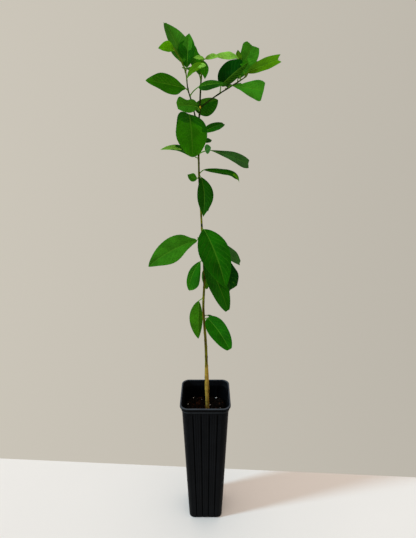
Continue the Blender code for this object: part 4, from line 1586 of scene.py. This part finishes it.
class SAPLING_OT_leaves(bpy.types.Operator):
    """Models each leaf's blade, joined by storey, and all the stalks with their midribs."""

    bl_idname = "sapling.leaves"
    bl_label = "Leaves"

    def execute(self, context):
        look = context.scene.sapling_leaf
        finishes = leaf_finishes(look)
        blades = all_blades()
        stalks = Piece("leaf_stalks")
        for name, nodes in LEAF_PIECES.items():
            piece = Piece(name)
            for node in nodes:
                for blade in blades[node]:
                    upper, under, rib = finishes[blade.leaf.finish]
                    tip_upper, tip_under, _ = finishes[blade.leaf.tip or blade.leaf.finish]
                    piece.take(blade.shape(look), upper, under, tip_upper, tip_under)
                    stalks.take(blade.rib(), rib)
            piece.stand("leaf", *nodes)
        stalks.stand("leaf")
        return {"FINISHED"}


def bud(centre, way, size):
    """A bud that stands up at a place and leans along a way."""
    part = new_part()
    bmesh.ops.create_icosphere(part, subdivisions=3, radius=size)
    tipped = way.to_track_quat("Y", "Z").to_matrix().to_4x4()
    matrix = Matrix.Translation(centre) @ tipped @ Matrix.Diagonal(BUD_SHAPE)
    bmesh.ops.transform(part, matrix=matrix, verts=part.verts)
    return part


class SAPLING_OT_buds(bpy.types.Operator):
    """Sets a small bud in the axil of each leaf, and a yellow one at the right bough's foot."""

    bl_idname = "sapling.buds"
    bl_label = "Buds"

    def execute(self, context):
        stem = context.scene.sapling_stem
        skin = rib_material("axil_buds", stem.bud)
        piece = Piece("buds")
        for blades in all_blades().values():
            for blade in blades:
                way = (blade.stalk[1] - blade.stalk[0]).normalized()
                piece.take(bud(blade.stalk[0] + way * BUD_OUT + BUD_LIFT, way, BUD_SIZE), skin)
        centre = Vector(RIGHT_ROUTE[0]) * MM + YELLOW_BUD_OFFSET
        yellow = rib_material("yellow_bud", stem.yellow_bud)
        piece.take(bud(centre, YELLOW_BUD_OFFSET, YELLOW_BUD_SIZE), yellow)
        piece.stand("leaf")
        return {"FINISHED"}


# ------------------------------------------------------------------------ the studio

# The camera. A tilt of 0 looks straight down, and one of 90 is level.
CAMERA_PLACE = (0.0054, -0.728, 0.832)
CAMERA_TILT = 70.7
LENS = 27.77
NEAR_CLIP = 0.01

# The table, whose back edge runs through two points, and how fast the painted light on the wall
# pales it upwards and to the left.
TABLE_THICKNESS = 0.03
TABLE_ROUND = 0.002
TABLE_LEFT_BACK = (-0.543, 0.140)
TABLE_RIGHT_BACK = (0.525, 0.078)
TABLE_REACH = 3.0
WALL_RISE = 0.03
WALL_TURN = -0.18

# The key light.
KEY_BEARING = 195.0
KEY_HEIGHT = 28.0
KEY_SPREAD = 7.0


def stage_material(name, rgb, scale, relief):
    """A plain matt surface with a barely seen grain."""

    def build(nodes):
        soft = mottled(nodes, solid(rgb), patches=2.0, grains=scale, depth=0.012)
        return {"Base Color": soft["Color"], "Normal": nodes.bump(soft["Grain"], relief)}

    return new_material(name, roughness=0.7, specular=0.2, build=build)


def table_slab():
    """The table's top: its back edge runs on past the two given points, and it reaches to the front."""
    left, right = Vector(TABLE_LEFT_BACK), Vector(TABLE_RIGHT_BACK)
    way = (right - left).normalized() * TABLE_REACH
    part = new_part()
    bmesh.ops.create_cube(part, size=1.0)
    for vert in part.verts:
        back = right + way if vert.co.x > 0 else left - way
        y = back.y if vert.co.y > 0 else back.y - 2 * TABLE_REACH
        vert.co = (back.x, y, 0.0 if vert.co.z > 0 else -TABLE_THICKNESS)
    bmesh.ops.bevel(
        part, geom=part.edges[:], offset=TABLE_ROUND, segments=3, affect="EDGES", profile=0.5, material=-1
    )
    return part


def key_light(studio):
    """A broad far light from the left and a little from the front."""
    lamp = bpy.data.lights.new("key", "SUN")
    lamp.energy = studio.key_power
    lamp.color = studio.key_colour
    lamp.angle = math.radians(KEY_SPREAD)
    made = in_scene("key", lamp)
    made.rotation_euler = (-direction(KEY_BEARING, KEY_HEIGHT)).to_track_quat("-Z", "Y").to_euler()


def set_world(studio):
    """A beige wall as the camera sees it, paled upwards and to the left by painted light, and a plain
    soft dome of light for the rest.
    """
    world = bpy.data.worlds.new("studio")
    world.use_nodes = True
    bpy.context.scene.world = world
    nodes = Nodes(world.node_tree)
    dome = world.node_tree.nodes["Background"]
    nodes.feed(dome, "Color", solid(studio.dome_colour))
    nodes.feed(dome, "Strength", studio.dome)
    way = nodes.add("ShaderNodeTexCoord", {}).outputs["Generated"]
    x, _, z = nodes.axes(way)
    # Painted light: the wall pales upwards and to the left.
    level = nodes.math("ADD", nodes.weigh(z, WALL_RISE, x, WALL_TURN), 1.0)
    wall = nodes.shade(solid(studio.wall), level)
    seen = nodes.add("ShaderNodeBackground", {0: wall, 1: 1.0}).outputs[0]
    camera_ray = nodes.add("ShaderNodeLightPath", {}).outputs["Is Camera Ray"]
    both = nodes.add("ShaderNodeMixShader", {0: camera_ray, 1: dome.outputs[0], 2: seen}).outputs[0]
    nodes.feed(world.node_tree.nodes["World Output"], "Surface", both)


def set_camera():
    """A camera level with the upper leaves, looking a little down."""
    lens = bpy.data.cameras.new("camera")
    lens.lens = LENS
    lens.clip_start = NEAR_CLIP
    camera = in_scene("camera", lens)
    camera.location = CAMERA_PLACE
    camera.rotation_euler = (math.radians(CAMERA_TILT), 0.0, 0.0)
    bpy.context.scene.camera = camera


class SAPLING_OT_studio(bpy.types.Operator):
    """Sets the table, the wall, the lights and the camera."""

    bl_idname = "sapling.studio"
    bl_label = "Studio"

    def execute(self, context):
        studio = context.scene.sapling_studio
        mesh = bpy.data.meshes.new("table")
        part = table_slab()
        part.to_mesh(mesh)
        part.free()
        mesh.materials.append(stage_material("table_top", studio.table, scale=500.0, relief=0.00003))
        in_scene("table", mesh)
        key_light(studio)
        set_world(studio)
        set_camera()
        context.scene.view_settings.view_transform = "Standard"
        return {"FINISHED"}


# ------------------------------------------------------------------------ the panel

SETTINGS = {
    "sapling_pot": SAPLING_PG_pot,
    "sapling_mix": SAPLING_PG_mix,
    "sapling_stem": SAPLING_PG_stem,
    "sapling_leaf": SAPLING_PG_leaf,
    "sapling_studio": SAPLING_PG_studio,
}
OPERATORS = (
    SAPLING_OT_pot, SAPLING_OT_mix, SAPLING_OT_stem, SAPLING_OT_leaves, SAPLING_OT_buds, SAPLING_OT_studio,
)


class SAPLING_PT_sidebar(bpy.types.Panel):
    """Lists the steps in the order in which they run."""

    bl_idname = "SAPLING_PT_sidebar"
    bl_label = "Potted sapling"
    bl_space_type = "VIEW_3D"
    bl_region_type = "UI"
    bl_category = "Sapling"

    def draw(self, context):
        for step in OPERATORS:
            self.layout.operator(step.bl_idname)


CLASSES = (*SETTINGS.values(), *OPERATORS, SAPLING_PT_sidebar)


def register():
    """Registers the classes and puts each group of settings on the scene."""
    for made in CLASSES:
        bpy.utils.register_class(made)
    for name, kind in SETTINGS.items():
        setattr(bpy.types.Scene, name, PointerProperty(type=kind))


def unregister():
    """Takes the settings off the scene and unregisters the classes."""
    for name in SETTINGS:
        delattr(bpy.types.Scene, name)
    for made in reversed(CLASSES):
        bpy.utils.unregister_class(made)


def main():
    """Runs every step."""
    register()
    bpy.ops.sapling.pot()
    bpy.ops.sapling.mix()
    bpy.ops.sapling.stem()
    bpy.ops.sapling.leaves()
    bpy.ops.sapling.buds()
    bpy.ops.sapling.studio()


if __name__ == "__main__":
    main()
